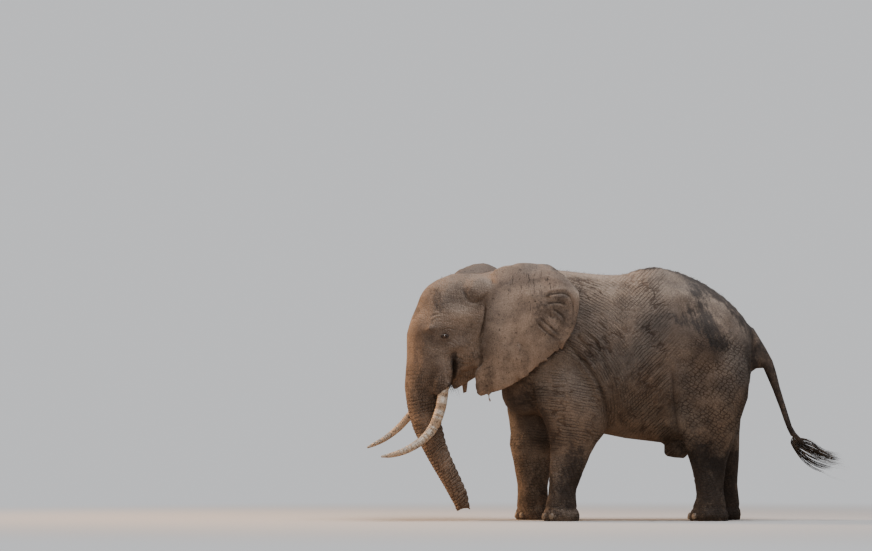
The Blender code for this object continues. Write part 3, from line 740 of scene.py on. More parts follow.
def trunk_place(head):
    """Distance down the trunk in metres, and -1 at its front to 1 at its underside."""
    side_view = head[:, 1:]
    curve = curve_through(TRUNK_LINE)
    _, share = along_curve(side_view, TRUNK_LINE)
    index = np.clip((share * (len(curve) - 1)).astype(int), 0, len(curve) - 2)
    way = curve[index + 1] - curve[index]
    way /= np.linalg.norm(way, axis=1)[:, None]
    even = np.linspace(0, 1, len(curve))
    middle = np.stack([np.interp(share, even, curve[:, k]) for k in (0, 1)], axis=1)
    behind = side_view - middle
    back = behind[:, 0] * -way[:, 1] + behind[:, 1] * way[:, 0]
    width = np.hypot(back, head[:, 0]) + 1e-6
    return share * TRUNK_LENGTH, back / width


def trunk_rings(head, weights):
    """Push of the rings in front and of the ridges below."""
    down, back = trunk_place(head)
    drift = 0.010 * wobble(head, 0.30, 11) + 0.004 * wobble(head, 0.09, 12)
    bow = 0.030 * (1 - back) * step(down, 0.2, 0.6)
    phase = (down + drift - bow) / RING_GAP
    rings = np.abs(np.sin(math.pi * phase)) ** 0.55 - 0.75
    ridges = np.abs(np.sin(math.pi * (down + 0.4 * drift) / RIDGE_GAP)) ** 0.7 - 0.6
    under = step(back, 0.25, 0.75)
    strength = 0.0065 * (1 - 0.5 * under) * step(down, 0.15, 0.75) + 0.0015
    push = strength * rings * (1 - 0.6 * under) + 0.012 * under * ridges * step(down, 0.55, 0.9)
    return weights["trunk"] * push


print("rings down the trunk:", round(TRUNK_LENGTH / RING_GAP), "ridges", round(TRUNK_LENGTH / RIDGE_GAP))

# %% [markdown]
# ## Ears
#
# An ear is a thin sheet that hangs askew, so the side view would distort it. It is described in its own
# plane instead: how far ahead of its rear edge, and how high. Its rear part carries short folds where it
# bends.

# %% Folds of the ears
EAR_FOLDS = (
    (((0.46, 2.80), (0.40, 2.84), (0.30, 2.86), (0.20, 2.86), (0.10, 2.80)), 0.013, 0.032),
    (((0.42, 2.72), (0.33, 2.745), (0.25, 2.74), (0.15, 2.71)), 0.012, 0.032),
    (((0.36, 2.67), (0.28, 2.63), (0.21, 2.56), (0.17, 2.46)), 0.012, 0.028),
    (((0.44, 2.62), (0.36, 2.56), (0.26, 2.52)), 0.009, 0.010),
    (((0.57, 2.52), (0.47, 2.42), (0.36, 2.33), (0.28, 2.28)), 0.010, 0.020),
    (((0.52, 2.57), (0.42, 2.48), (0.32, 2.39), (0.24, 2.33)), 0.010, 0.020),
    (((0.22, 2.92), (0.12, 2.80), (0.08, 2.66), (0.10, 2.50)), 0.011, 0.014),
    (((0.70, 3.04), (0.62, 3.08), (0.50, 3.105), (0.34, 3.105), (0.18, 3.01), (0.07, 2.89)), 0.012, 0.012),
    (((0.98, 2.10), (0.86, 2.00), (0.80, 1.86)), 0.014, 0.006),
    (((0.80, 2.32), (0.72, 2.16), (0.66, 2.04)), 0.014, 0.005),
    (((1.10, 2.90), (0.98, 2.98), (0.84, 3.02)), 0.020, 0.010),
)


def ear_place(name, co):
    """In the ear's own plane: distance ahead of its rear edge, and height."""
    thin = thin_direction(name)
    level = np.array([-thin[1], thin[0], 0.0])
    level /= np.linalg.norm(level) * np.sign(level[1])
    reach = np.array([v.co for v in frame["nodes"][name].data.vertices]) @ level
    return np.stack([reach.max() - co @ level, co[:, 2]], axis=1), level


def ear_folds(name, co):
    """Push of the ear's folds, and of the soft waves between them."""
    place, _ = ear_place(name, co)
    push = added(crease, place, EAR_FOLDS)
    return push + 0.006 * wobble(place, 0.42, 21, 11) + 0.0020 * wobble(place, 0.16, 22, 11)


print("ear planes:", {name: ear_place(name, co[:1])[1].round(3) for name in EARS})

# %% [markdown]
# ## Rims of the ears
#
# Thorns tear the lower edge of an ear, so it runs in small waves with a few notches. Cutting with a
# boolean would leave sharp edges. Pulling the rim inward in the ear's own plane keeps it round and thick
# as it was.

# %% Torn rims of the ears
RIM_STEEPNESS = 1.3  # a notch pulls further in than it is wide
NOTCHES = (
    ("ear_left", 0.715, 0.036),
    ("ear_left", 0.755, 0.018),
    ("ear_left", 0.22, 0.030),
    ("ear_left", 0.445, 0.020),
    ("ear_left", 0.56, 0.014),
    ("ear_left", 0.90, 0.016),
    ("ear_left", 1.04, 0.020),
    ("ear_right", 0.40, 0.030),
    ("ear_right", 0.70, 0.024),
    ("ear_right", 0.95, 0.020),
)


def torn_rim(name, co):
    """Shift in the ear's own plane: small waves along the rim and a few notches."""
    place, level = ear_place(name, co)
    middle = place.mean(axis=0)
    inward = middle - place
    inward /= np.linalg.norm(inward, axis=1)[:, None] + 1e-6
    low = step(-place[:, 1], -2.75, -2.2)
    pull = (0.003 + 0.006 * low) * wobble(place, 0.11, 31) + (0.001 + 0.004 * low) * wobble(place, 0.04, 32)
    for ear, ahead, size in NOTCHES:
        if ear != name:
            continue
        beside = weights[name] * (np.abs(place[:, 0] - ahead) < 0.012) > 0.6
        rim = place[beside, 1].min()
        gap = np.linalg.norm((place - np.array((ahead, rim))) * np.array((1.0, 0.7)), axis=1)
        pull += RIM_STEEPNESS * size * np.exp(-((gap / size) ** 4))
    shift = pull[:, None] * inward
    return np.stack([-shift[:, 0] * level[0], -shift[:, 0] * level[1], shift[:, 1]], axis=1)


print("notches:", {name: sum(row[0] == name for row in NOTCHES) for name in EARS})

# %% Set of the ears
ROLL_LINE = (
    (0.0, 2.80),
    (0.07, 2.895),
    (0.18, 3.01),
    (0.33, 3.105),
    (0.50, 3.11),
    (0.64, 3.08),
    (0.9, 3.05),
)
FAR_EAR_DROP = (
    (-1.95, 0.20),
    (-1.85, 0.165),
    (-1.72, 0.09),
    (-1.60, 0.025),
    (-1.50, 0.0),
    (-1.40, -0.02),
    (-1.30, -0.02),
)


def lobes(name, co):
    """Shift of large parts of an ear.

    The far ear ends in a narrow tab under the jaw, and its top edge drops towards the front. The near ear's
    front edge lies over the neck, and its top leans in above the line where it rolls.
    """
    shift = np.zeros_like(co)
    if name == "ear_right":
        body = in_body(co)
        ahead_of_tab = step(-body[:, 1], 1.725, 1.76)
        behind_tab = step(body[:, 1], -1.690, -1.660) * step(-body[:, 1], 1.4, 1.5)
        beside = np.maximum(ahead_of_tab, behind_tab)
        shift[:, 2] = 0.92 * ahead_of_tab * np.clip(1.80 - body[:, 2], 0, 0.3)
        shift[:, 2] += 0.95 * behind_tab * np.clip(1.89 - body[:, 2], 0, 0.4)
        shift[:, 2] -= 0.05 * (1 - beside) * step(-body[:, 2], -1.75, -1.65)
        top = step(body[:, 2], 2.9, 3.2)
        shift[:, 1] = top * (0.12 * step(body[:, 1], -1.75, -1.42) - 0.04 * step(-body[:, 1], 1.65, 1.85))
        shift[:, 2] += 0.045 * step(body[:, 2], 3.0, 3.25)
        shift[:, 2] -= step(body[:, 2], 2.85, 3.25) * np.interp(body[:, 1], *zip(*FAR_EAR_DROP))
    else:
        place, _ = ear_place(name, co)
        front = step(place[:, 0], 0.78, 1.05) * step(-place[:, 1], -2.80, -2.40)
        above = np.clip(place[:, 1] - np.interp(place[:, 0], *zip(*ROLL_LINE)), 0, 0.16)
        above *= step(-place[:, 0], -0.80, -0.55)
        shift[:, 0] = 0.060 * front - 0.50 * above
        shift[:, 1] = -0.060 * front
        shift[:, 2] = -0.12 * above
    return shift


print("the near ear rolls at", [height for _, height in ROLL_LINE])

# %% [markdown]
# ## Eyelids
#
# An elephant's eye is small and set in thick lids. In the plane of the cheek the opening is an almond,
# narrow at the corners. Inside it the skin sinks to make room for the eyeball. Round it runs a rolled rim,
# and outside the rim folds follow the almond in widening rings, deepest above. Modelled lids would need a
# seam round them. Here all of it is one formula of the distance from the almond.

# %% Lids
LID_HALF_LENGTH = 0.029
LID_HALF_HEIGHT = 0.0160
LID_TILT = -0.12
RIM_AT, RIM_WIDTH = 0.0065, 0.0055
LID_FOLDS = (
    (0.019, 0.0040, 0.0065),
    (0.032, 0.0045, 0.0060),
    (0.047, 0.0050, 0.0050),
    (0.064, 0.0060, 0.0040),
)


def eyelids(head):
    """Push of the lids and of the opening between them."""
    across = head[:, 1] - EYE_PLACE.y
    up = head[:, 2] - EYE_PLACE.z
    across, up = across + LID_TILT * up, up - LID_TILT * across
    length = np.hypot(across, up) + 1e-6
    oval = np.hypot(across / LID_HALF_LENGTH, up / LID_HALF_HEIGHT) + 1e-6
    away = length * (1 - 1 / oval)
    above = step(up, -0.01, 0.02)
    narrow = np.clip(1 - (across / LID_HALF_LENGTH) ** 2, 0, 1)
    push = -(0.006 + 0.022 * narrow) * step(-away, -0.001, 0.005)
    push += (0.0060 + 0.0045 * above) * hill(away, RIM_AT, RIM_WIDTH)
    for radius, width, depth in LID_FOLDS:
        uneven = 0.0025 * np.sin(3 * np.arctan2(up, across) + 40 * radius)
        push -= (0.55 + 0.45 * above) * depth * hill(away, radius + uneven, width)
    push += 0.008 * step(-np.hypot(across, up), -0.080, -0.035)
    return push * step(np.abs(head[:, 0]), 0.2, 0.3)


print("lid opening in millimetres:", round(2000 * LID_HALF_LENGTH), "by", round(2000 * LID_HALF_HEIGHT))

# %% [markdown]
# ## Press the forms into the skin
#
# All pushes are added up first and moved along the normals once. One after another they would each start
# from the last one's slopes. The ears' shifts go sideways, so they are kept apart. The far ear's top is
# smoothed once more after its long shift.

# %% Sculpt
weights = region_weights(skin, 10)
co, no = positions(skin), normals(skin)
body, head = in_body(co), in_head(co)
limbs = sum(weights[r] for r in ("ear_left", "ear_right", "head", "trunk", "tail"))
torso_share = 1 - np.clip(limbs, 0, 1)
push = torso_share * (body_folds(body) + spine(body)) + leg_folds(body, weights)
push += (weights["head"] + 0.5 * weights["trunk"]) * head_forms(head) + trunk_rings(head, weights)
push += weights["head"] * eyelids(head)
outward = {"ear_left": 1.0, "ear_right": -1.0}
shift = np.zeros_like(co)
for name in EARS:
    outer_face = step(no[:, 0] * outward[name], -0.3, 0.3)
    push += weights[name] * ear_folds(name, co) * (2 * outer_face - 1)
    shift += weights[name][:, None] * (torn_rim(name, co) + lobes(name, co))
write_positions(skin, co + push[:, None] * no + shift)
far_tip = weights["ear_right"] * step(in_body(positions(skin))[:, 2], 2.98, 3.16)
smooth(skin, "far_tip", far_tip, 36)
print("deepest push", push.min().round(4), "highest", push.max().round(4))

# %% [markdown]
# ## Fewer faces where the hide is smooth
#
# Collapsing short edges thins the skin unevenly, as a coarser remesh could not. A vertex group says where.
# The lids, the trunk and the head keep small faces, and with them their folds and rings. The flanks and
# the legs are left with faces a hand wide, so only their broad forms stay. The bump has their fine lines.

# %% Thin out
SKIN_TRIANGLES = 186000


def thin_out(obj, group, triangles):
    now = sum(len(face.vertices) - 2 for face in obj.data.polygons)
    modifier = obj.modifiers.new("thin", "DECIMATE")
    modifier.ratio = triangles / now
    modifier.vertex_group = group
    modifier.vertex_group_factor = 1.0
    modifier.use_collapse_triangulate = True
    apply_modifiers(obj)


eye_gap = np.min([np.linalg.norm(co - eye, axis=1) for eye in EYES], axis=0)
keep = np.clip(step(-eye_gap, -0.09, -0.07) + 0.6 * weights["trunk"] + 0.3 * weights["head"], 0, 1)
set_group(skin, "thin", 1 - 0.98 * keep)
thin_out(skin, "thin", SKIN_TRIANGLES)
skin.vertex_groups.clear()
skin.data.shade_smooth()
print("skin after thinning:", len(skin.data.polygons), "triangles")

# %% [markdown]
# ## The lie of the wrinkles
#
# Elephant hide is covered in fine lines whose direction changes from place to place. Behind the shoulder
# they run in arcs round the elbow. On the flank they slant down and forward from the hip, and sweep in
# round the groin. The thigh has two families that cross in small diamonds. Rings go round the trunk and
# the lower legs, and short upright lines cover the cheek. A noise alone would have no direction. So each
# family is stored on the skin as a count of lines along, a count across, and an amount from 0 to 1.

# %% Places on the thinned skin


def slanted(side_view, angle, gap):
    """Straight lines that rise tail-ward by the angle."""
    turn = math.radians(angle)
    return (side_view @ np.array([-math.sin(turn), math.cos(turn)])) / gap


def oval_mask(side_view, middle, radii, soft=0.35):
    """1 inside an oval on the side view, 0 outside, smooth between."""
    gap = np.linalg.norm((side_view - np.array(middle)) / np.array(radii), axis=1)
    return step(-gap, -1 - soft, -1 + soft)


weights = region_weights(skin, 5)
co, no = positions(skin), normals(skin)
body, head = in_body(co), in_head(co)
side_view, head_view = body[:, 1:], head[:, 1:]
legs = weights["fore"] + weights["hind"]
ears = weights["ear_left"] + weights["ear_right"]
limbs = np.clip(ears + weights["head"] + weights["trunk"] + weights["tail"], 0, 1)
torso_share = 1 - limbs
down, back = trunk_place(head)
upright = 1 - step(np.abs(no[:, 2]), 0.75, 0.95)
print("share of the skin:", {name: round(float(w.mean()), 3) for name, w in weights.items()})

# %% Where each family of lines lies
GROIN_AT, ELBOW_AT = np.array((0.918, 1.506)), np.array((-0.85, 1.36))

lid_gap = np.hypot(head[:, 1] - EYE_PLACE.y, 1.6 * (head[:, 2] - EYE_PLACE.z))
groin = side_view - GROIN_AT
slant = (groin[:, 1] - groin[:, 0]) / math.sqrt(2)
fall = (groin[:, 1] + groin[:, 0]) / math.sqrt(2)
elbow = side_view - ELBOW_AT
stray = 0.22 * wobble(side_view, 0.7, 51)  # keeps the borders of the families uneven
behind_shoulder = step(side_view @ np.array((0.8, 0.6)), -0.1, 0.55)
front_mask = step(-body[:, 1] + stray, -0.85, -0.05) * behind_shoulder
before_thigh = step(-body[:, 1] - 0.15 * body[:, 2] + stray, -1.45, -1.10)
rear_mask = step(body[:, 1] + stray, -0.25, 0.50) * before_thigh
thigh_mask = oval_mask(side_view + stray[:, None], (1.42, 1.55), (0.58, 0.88))
arm_mask = oval_mask(side_view + stray[:, None], (-0.45, 1.42), (0.48, 0.56))
upper_fore = np.maximum(weights["fore"] * step(body[:, 2], 0.80, 1.0), torso_share * arm_mask)
lower_legs = legs * step(-body[:, 2], -0.95, -0.75)
low_face = step(-head[:, 2] + 0.3 * stray, -2.25, -1.95)
ringed_face = weights["head"] * low_face * step(-head[:, 1], 1.98, 2.1)
face = weights["head"] * (0.40 + 0.35 * low_face) * (1 - ringed_face) * step(lid_gap, 0.05, 0.12)
for label, share in (("shoulder", front_mask), ("flank", rear_mask), ("face", face)):
    print(label, "lines on", share.mean().round(3), "of the skin")

# %% Line families: count along, count across, amount
BODY_LINES = {
    "shoulder": (
        np.linalg.norm(elbow, axis=1) / 0.034,
        np.arctan2(elbow[:, 0], elbow[:, 1]) * 2.2,
        torso_share * front_mask * upright * (1 - arm_mask),
    ),
    "flank": (
        -slant / 0.038,
        fall / 0.42,
        torso_share * rear_mask * (1 - 0.5 * thigh_mask),
    ),
    "thigh": (
        slanted(side_view, -30, 0.040),
        slanted(side_view, 50, 0.062),
        torso_share * thigh_mask * (1 - weights["fore"]),
    ),
    "nape": (
        slanted(side_view, 50, 0.032),
        slanted(side_view, -40, 0.36),
        torso_share * oval_mask(side_view, (-0.55, 2.95), (0.40, 0.22)),
    ),
}
LIMB_LINES = {
    "upper arm": (
        slanted(side_view, -6, 0.036) + 4 * (side_view[:, 0] + 0.6) ** 2,
        slanted(side_view, 80, 0.42),
        upper_fore,
    ),
    "lower legs": (slanted(side_view, 8, 0.034), slanted(side_view, -70, 0.055), 0.8 * lower_legs),
    "trunk": (
        (down + 0.03 * back) / RING_GAP,
        (head[:, 0] / 0.030 + head[:, 1] / 0.034) * (1.0 - 0.6 * step(down, 0.7, 1.3)),
        np.clip(weights["trunk"] + ringed_face, 0, 0.9) * step(down, 0.02, 0.36),
    ),
    "face": (slanted(head_view, 94, 0.032), slanted(head_view, -12, 0.065), face),
}
print("families:", *BODY_LINES, *LIMB_LINES, sep=", ")

# %% [markdown]
# ## Markings
#
# Water and mud leave dark patches with ragged edges on the hip, the forelegs, the forehead and the rear of
# the ear, and the hind legs are dark with mud below the knee. Two dark strokes on the chest between the
# forelegs are painted shadow. Dust lies pale on the back and the upper forehead, and pale strokes on the
# brow's fold and the cheekbone are painted highlight. A painted image would tie them to one size. Each
# patch is drawn instead as a soft stroke on the side view: a path, its half width and its strength. The
# material frays the edges.

# %% Dark and pale patches
DARK_BODY = (
    # Painted shadow on the chest, where the far foreleg's upper part lies in shade.
    (((-1.10, 1.62), (-0.95, 1.36), (-0.80, 1.15)), 0.110, 0.50),
    (((1.06, 3.00), (1.23, 2.84), (1.26, 2.70)), 0.060, 0.85),
    (((1.24, 2.66), (1.28, 2.56), (1.36, 2.42), (1.45, 2.27), (1.50, 2.22)), 0.105, 1.0),
    (((0.86, 2.58), (1.00, 2.52), (1.14, 2.48), (1.26, 2.46), (1.34, 2.38)), 0.090, 0.62),
    (((1.50, 2.50), (1.60, 2.38), (1.64, 2.24)), 0.070, 0.40),
    (((0.50, 3.22), (0.80, 3.26), (1.10, 3.12), (1.46, 2.88), (1.76, 2.62), (2.0, 2.34)), 0.075, 1.0),
    (((-0.36, 0.84), (-0.37, 0.66), (-0.41, 0.46), (-0.40, 0.30)), 0.120, 0.85),
    (((-0.82, 0.80), (-0.76, 0.58), (-0.70, 0.38)), 0.110, 0.60),
    (((-0.48, 1.20), (-0.36, 1.08), (-0.20, 1.10)), 0.085, 0.30),
    (((1.88, 2.34), (1.90, 2.14), (1.92, 1.90)), 0.100, 0.65),
    (((0.80, 1.02), (0.90, 0.92), (1.00, 0.90)), 0.080, 0.60),
    # Painted shadow on the chest between the forelegs.
    (((-1.00, 1.90), (-0.95, 1.60), (-0.85, 1.30)), 0.150, 0.60),
)
PALE_BODY = (
    (((0.00, 3.04), (0.30, 3.04), (0.62, 3.06), (0.90, 3.01)), 0.060, 1.0),
    (((1.32, 2.78), (1.44, 2.66), (1.54, 2.54)), 0.085, 0.65),
    (((1.62, 2.46), (1.74, 2.44), (1.84, 2.36)), 0.050, 0.35),
    (((-0.55, 3.02), (-0.30, 2.96), (-0.10, 2.90)), 0.090, 0.4),
    (((-0.415, 0.60), (-0.40, 0.45), (-0.39, 0.30)), 0.030, 0.6),
)
DARK_HEAD = (
    (((-2.17, 2.88), (-2.15, 2.78), (-2.12, 2.70)), 0.060, 0.62),
    (((-2.13, 2.74), (-2.11, 2.67)), 0.050, 0.50),
    (((-2.37, 2.67), (-2.40, 2.57)), 0.035, 0.60),
    (((-1.92, 2.96), (-1.80, 2.90), (-1.78, 2.84)), 0.070, 0.42),
    (((-2.20, 2.42), (-2.24, 2.20), (-2.22, 2.00)), 0.080, 0.35),
    (((-1.95, 2.08), (-1.94, 1.90), (-1.95, 1.70)), 0.050, 0.75),
    (((-1.99, 1.70), (-1.95, 1.64)), 0.050, 1.0),
    (((-1.90, 1.98), (-1.74, 2.04), (-1.62, 2.10)), 0.070, 0.45),
    (((-1.98, 2.20), (-1.84, 2.20), (-1.70, 2.26)), 0.060, 0.35),
)
PALE_HEAD = (
    # Painted highlight on the brow's fold.
    (((-2.28, 2.54), (-2.20, 2.52), (-2.14, 2.58)), 0.050, 0.7),
    # Painted highlight on the cheekbone.
    (((-1.96, 2.66), (-1.84, 2.60), (-1.74, 2.54)), 0.070, 0.6),
    (((-2.24, 2.94), (-2.10, 3.02), (-1.90, 3.06)), 0.055, 0.7),
    (((-1.72, 2.84), (-1.60, 2.90)), 0.050, 0.4),
)
DARK_EAR = (
    (((0.48, 2.80), (0.34, 2.82), (0.20, 2.78)), 0.070, 0.68),
    (((0.44, 2.70), (0.30, 2.62), (0.20, 2.50)), 0.100, 0.75),
    (((0.16, 2.60), (0.12, 2.46), (0.18, 2.32)), 0.060, 0.55),
    (((0.54, 2.58), (0.42, 2.44), (0.30, 2.30)), 0.080, 0.60),
    (((1.14, 1.92), (1.18, 1.78), (1.18, 1.64)), 0.090, 0.80),
    (((1.02, 1.80), (0.88, 1.94), (0.70, 2.02)), 0.070, 0.35),
    (((0.84, 2.20), (0.74, 2.14), (0.64, 2.10)), 0.050, 0.35),
    (((0.80, 3.02), (0.62, 3.04), (0.44, 3.02)), 0.060, 0.45),
    (((1.00, 2.96), (0.92, 2.90)), 0.070, 0.45),
)
print("dark strokes:", len(DARK_BODY) + len(DARK_HEAD) + len(DARK_EAR))
print("pale strokes:", len(PALE_BODY) + len(PALE_HEAD))

# %% Dimmed and hatched patches, mostly painted shade
# The dim strokes multiply the hide towards DIMMED. Most of them are painted shade: behind the near ear,
# between the forelegs, in the elbow's pit, under the belly, on the lower flank, and along the folds of the
# shoulder and the thigh and the deep crease down the cheek. The others darken the hide on the hip, the rump,
# the head, the hind legs and the near ear.
ELBOW_PIT = (((-0.90, 1.45), (-0.88, 1.20)), 0.07, 0.80)
DIM_BODY = (
    (((1.62, 2.55), (1.75, 2.35), (1.80, 2.20)), 0.11, 0.50),
    (((0.70, 3.05), (1.00, 3.05), (1.30, 2.92)), 0.13, 0.45),
    (((0.90, 1.98), (0.905, 1.70), (0.93, 1.30), (0.98, 1.05)), 0.028, 0.55),
    (((-0.40, 2.26), (-0.18, 1.98), (-0.02, 1.66), (0.07, 1.30)), 0.026, 0.60),
    (((0.50, 2.05), (0.75, 1.85), (0.90, 1.65)), 0.30, 0.42),
    (((-0.20, 2.55), (0.00, 2.10), (0.10, 1.80)), 0.22, 0.35),
    (((-1.18, 1.72), (-1.02, 1.46), (-0.84, 1.22), (-0.74, 1.08)), 0.17, 1.0),
    (((0.10, 1.28), (0.50, 1.16), (0.90, 1.06)), 0.14, 0.45),
    (((1.80, 2.12), (1.84, 1.92), (1.80, 1.60)), 0.15, 0.60),
    (((0.70, 2.50), (0.95, 2.46), (1.20, 2.34), (1.32, 2.15)), 0.17, 0.90),
    (((0.45, 1.75), (0.75, 1.60), (1.05, 1.70)), 0.20, 0.40),
    (((0.10, 1.45), (0.40, 1.38), (0.65, 1.33)), 0.14, 0.60),
    (((-0.28, 2.50), (-0.15, 2.20), (-0.25, 1.95)), 0.14, 0.55),
    ELBOW_PIT,
    (((0.92, 1.00), (1.00, 0.85)), 0.14, 0.80),
    (((1.30, 1.10), (1.34, 0.95)), 0.12, 0.60),
)
DIM_HEAD = (
    (((-2.34, 2.10), (-2.24, 1.85), (-2.22, 1.55)), 0.16, 0.38),
    (((-1.85, 3.02), (-1.65, 2.98), (-1.45, 3.05)), 0.17, 0.45),
    (((-1.75, 2.85), (-1.60, 2.80)), 0.12, 0.40),
    (((-1.94, 2.06), (-1.935, 1.90), (-1.94, 1.74)), 0.028, 0.85),
    (((-2.30, 2.36), (-2.08, 2.31), (-1.90, 2.30)), 0.13, 0.70),
    (((-2.24, 2.74), (-2.10, 2.76), (-1.95, 2.76)), 0.11, 0.45),
    (((-2.20, 2.96), (-1.92, 3.00), (-1.66, 3.02)), 0.13, 0.45),
)
DIM_EAR = (
    (((0.42, 2.80), (0.28, 2.74), (0.22, 2.55)), 0.10, 0.40),
    (((0.95, 2.10), (0.70, 2.05)), 0.22, 0.22),
    (((1.20, 3.05), (0.80, 3.12), (0.40, 3.14), (0.15, 3.05)), 0.18, 0.90),
    (((1.14, 3.00), (1.10, 2.80), (1.16, 2.60)), 0.11, 0.80),
    (((0.30, 2.95), (0.15, 2.80), (0.08, 2.60)), 0.13, 0.60),
    (((0.45, 2.50), (0.30, 2.30), (0.50, 2.02)), 0.12, 0.50),
)
DIM_LEGS = (
    (((1.22, 0.84), (1.36, 0.76), (1.50, 0.70)), 0.12, 0.95),
    ELBOW_PIT,
    (((-1.00, 1.42), (-0.84, 1.22), (-0.72, 1.02)), 0.13, 0.80),
)
# Short dark hatches on the near ear: painted shade of its fine folds.
HATCHES = (
    (((0.80, 3.00), (0.64, 2.99), (0.42, 3.00)), 0.120, 0.85),
    (((0.66, 2.66), (0.54, 2.60), (0.44, 2.58)), 0.080, 0.70),
    (((1.00, 2.06), (0.86, 2.00), (0.70, 2.06)), 0.100, 0.35),
)
print("dim strokes:", len(DIM_BODY) + len(DIM_HEAD) + len(DIM_EAR) + len(DIM_LEGS), "hatched", len(HATCHES))

# %% Tones of the skin and painted shade
MUD_LINE = ((0.98, 1.02), (1.28, 0.95), (1.38, 0.87), (1.49, 0.80), (1.66, 0.90))
FULL_HOLLOW = 0.02  # a fold this deep is as dark as it gets


def patches(side, strokes):
    """The strength of the strongest stroke at each point."""
    total = np.zeros(len(side))
    for path, width, strength in strokes:
        away, _ = along_curve(side, path)
        total = np.maximum(total, strength * (1 - step(away, 0.5 * width, 1.7 * width)))
    return total


near_side = step(body[:, 0], -0.1, 0.1)
less_on_far_side = 0.45 + 0.55 * near_side
mud_level = np.interp(body[:, 1], *zip(*MUD_LINE))
hind_mud = np.clip(weights["hind"] * 1.4, 0, 1) * step(mud_level - body[:, 2], -0.06, 0.07)
fore_mud = 0.42 * weights["fore"] * step(-body[:, 2], -1.0, -0.4)
dark = torso_share * patches(side_view, DARK_BODY) * less_on_far_side
dark = dark + hind_mud + fore_mud + 0.7 * weights["tail"]
dark += weights["head"] * patches(head_view, DARK_HEAD)
pale = torso_share * patches(side_view, PALE_BODY) + weights["head"] * patches(head_view, PALE_HEAD)
for name in EARS:
    place, _ = ear_place(name, co)
    dark += weights[name] * patches(place, DARK_EAR)
# A dark ring round each eye: wet skin, and painted shade of the lids and the socket.
dark += weights["head"] * 1.15 * step(-lid_gap, -0.075, -0.034)
ahead_of_rim, _ = ear_place("ear_left", co)
# Dimming by the dim strokes: mostly painted shade.
dim = torso_share * patches(side_view, DIM_BODY)
dim += (weights["head"] + weights["trunk"]) * patches(head_view, DIM_HEAD)
# The far ear's upper part is dimmed as a whole: painted shade.
far_ear_shade = weights["ear_right"] * step(body[:, 2], 2.6, 2.9)
dim += weights["ear_left"] * patches(ahead_of_rim, DIM_EAR) + far_ear_shade
dim += legs * patches(side_view, DIM_LEGS) + 0.9 * weights["tail"]
streaky = torso_share * oval_mask(side_view, (1.32, 2.50), (0.62, 0.42))
hatched = weights["ear_left"] * patches(ahead_of_rim, HATCHES)
# How deep the sculpted folds are. The material paints shade into the deeper ones.
form_push = torso_share * body_folds(body) + weights["head"] * (head_forms(head) + eyelids(head))
for name in EARS:
    form_push += weights[name] * ear_folds(name, co)
hollow = np.clip(-form_push / FULL_HOLLOW, 0, 1)
print("dark", dark.mean().round(3), "pale", pale.mean().round(3), "hollow", hollow.mean().round(3))

# %% Store them on the skin


def store(obj, name, columns):
    """A named colour attribute made of four columns of values."""
    attribute = obj.data.attributes.new(name, "FLOAT_COLOR", "POINT")
    table = np.stack([np.asarray(column, np.float32) for column in columns], axis=1)
    attribute.data.foreach_set("color", table.ravel())


for part, lines in (("body", BODY_LINES), ("limb", LIMB_LINES)):
    counts, crossings, amounts = zip(*lines.values())
    store(skin, part + "_counts", counts)
    store(skin, part + "_crossings", crossings)
    store(skin, part + "_amounts", amounts)
head_share, trunk_share = np.clip(weights["head"], 0, 1), np.clip(weights["trunk"], 0, 1)
store(skin, "tone", (np.clip(dark, 0, 1), np.clip(pale, 0, 1), hollow, step(no[:, 2], -0.6, 0.9)))
store(skin, "zone", (ears, head_share, trunk_share, np.zeros(len(co))))
# The first column is the dimming, mostly painted shade; the third is the hatches, painted shade of fine
# folds.
store(skin, "marks_and_shade", (np.clip(dim, 0, 1), streaky, hatched, np.zeros(len(co))))
print("attributes of the skin:", [attribute.name for attribute in skin.data.color_attributes])

# %% [markdown]
# ## The hide's material
#
# Real hide looks rough because of three things: lines in families, a net of small cracks between them, and
# the shade that fills the grooves, which the colour paints in because the bump casts none. The lines and the
# cracks are a shader group each. They give heights and masks, and the shader itself stays in the material.
# First come a few helpers, because a tree of some hundred nodes is easier to read as sums and mixes than as
# links.

# %% Shader helpers: groups and sums


def group_of(name, inputs, outputs):
    """An empty shader group with float, vector or colour sockets."""
    tree = bpy.data.node_groups.new(name, "ShaderNodeTree")
    kinds = {"f": "NodeSocketFloat", "v": "NodeSocketVector", "c": "NodeSocketColor"}
    for label, kind in inputs:
        tree.interface.new_socket(label, in_out="INPUT", socket_type=kinds[kind])
    for label, kind in outputs:
        tree.interface.new_socket(label, in_out="OUTPUT", socket_type=kinds[kind])
    return tree, tree.nodes.new("NodeGroupInput"), tree.nodes.new("NodeGroupOutput")


def fill(tree, socket, value):
    if hasattr(value, "is_linked"):
        tree.links.new(value, socket)
    elif value is not None:
        socket.default_value = value


def math_node(tree, operation, *values, clamp=False):
    node = tree.nodes.new("ShaderNodeMath")
    node.operation = operation
    node.use_clamp = clamp
    for socket, value in zip(node.inputs, values):
        fill(tree, socket, value)
    return node.outputs[0]


def times(tree, first, second):
    return math_node(tree, "MULTIPLY", first, second)


def larger(tree, first, second):
    return math_node(tree, "MAXIMUM", first, second)


def swing(tree, value, reach):
    """A noise from 0 to 1 made to swing round nothing, over this reach."""
    return times(tree, math_node(tree, "SUBTRACT", value, 0.5), reach)


def ramp(tree, value, low, high, to_low=0.0, to_high=1.0):
    """The value's share of the way from low to high, smoothed."""
    node = tree.nodes.new("ShaderNodeMapRange")
    node.interpolation_type = "SMOOTHSTEP"
    for socket, amount in zip(node.inputs, (value, low, high, to_low, to_high)):
        fill(tree, socket, amount)
    return node.outputs[0]


print("helpers for sums and ramps are ready")

# %% Shader helpers: patterns, mixes and attributes


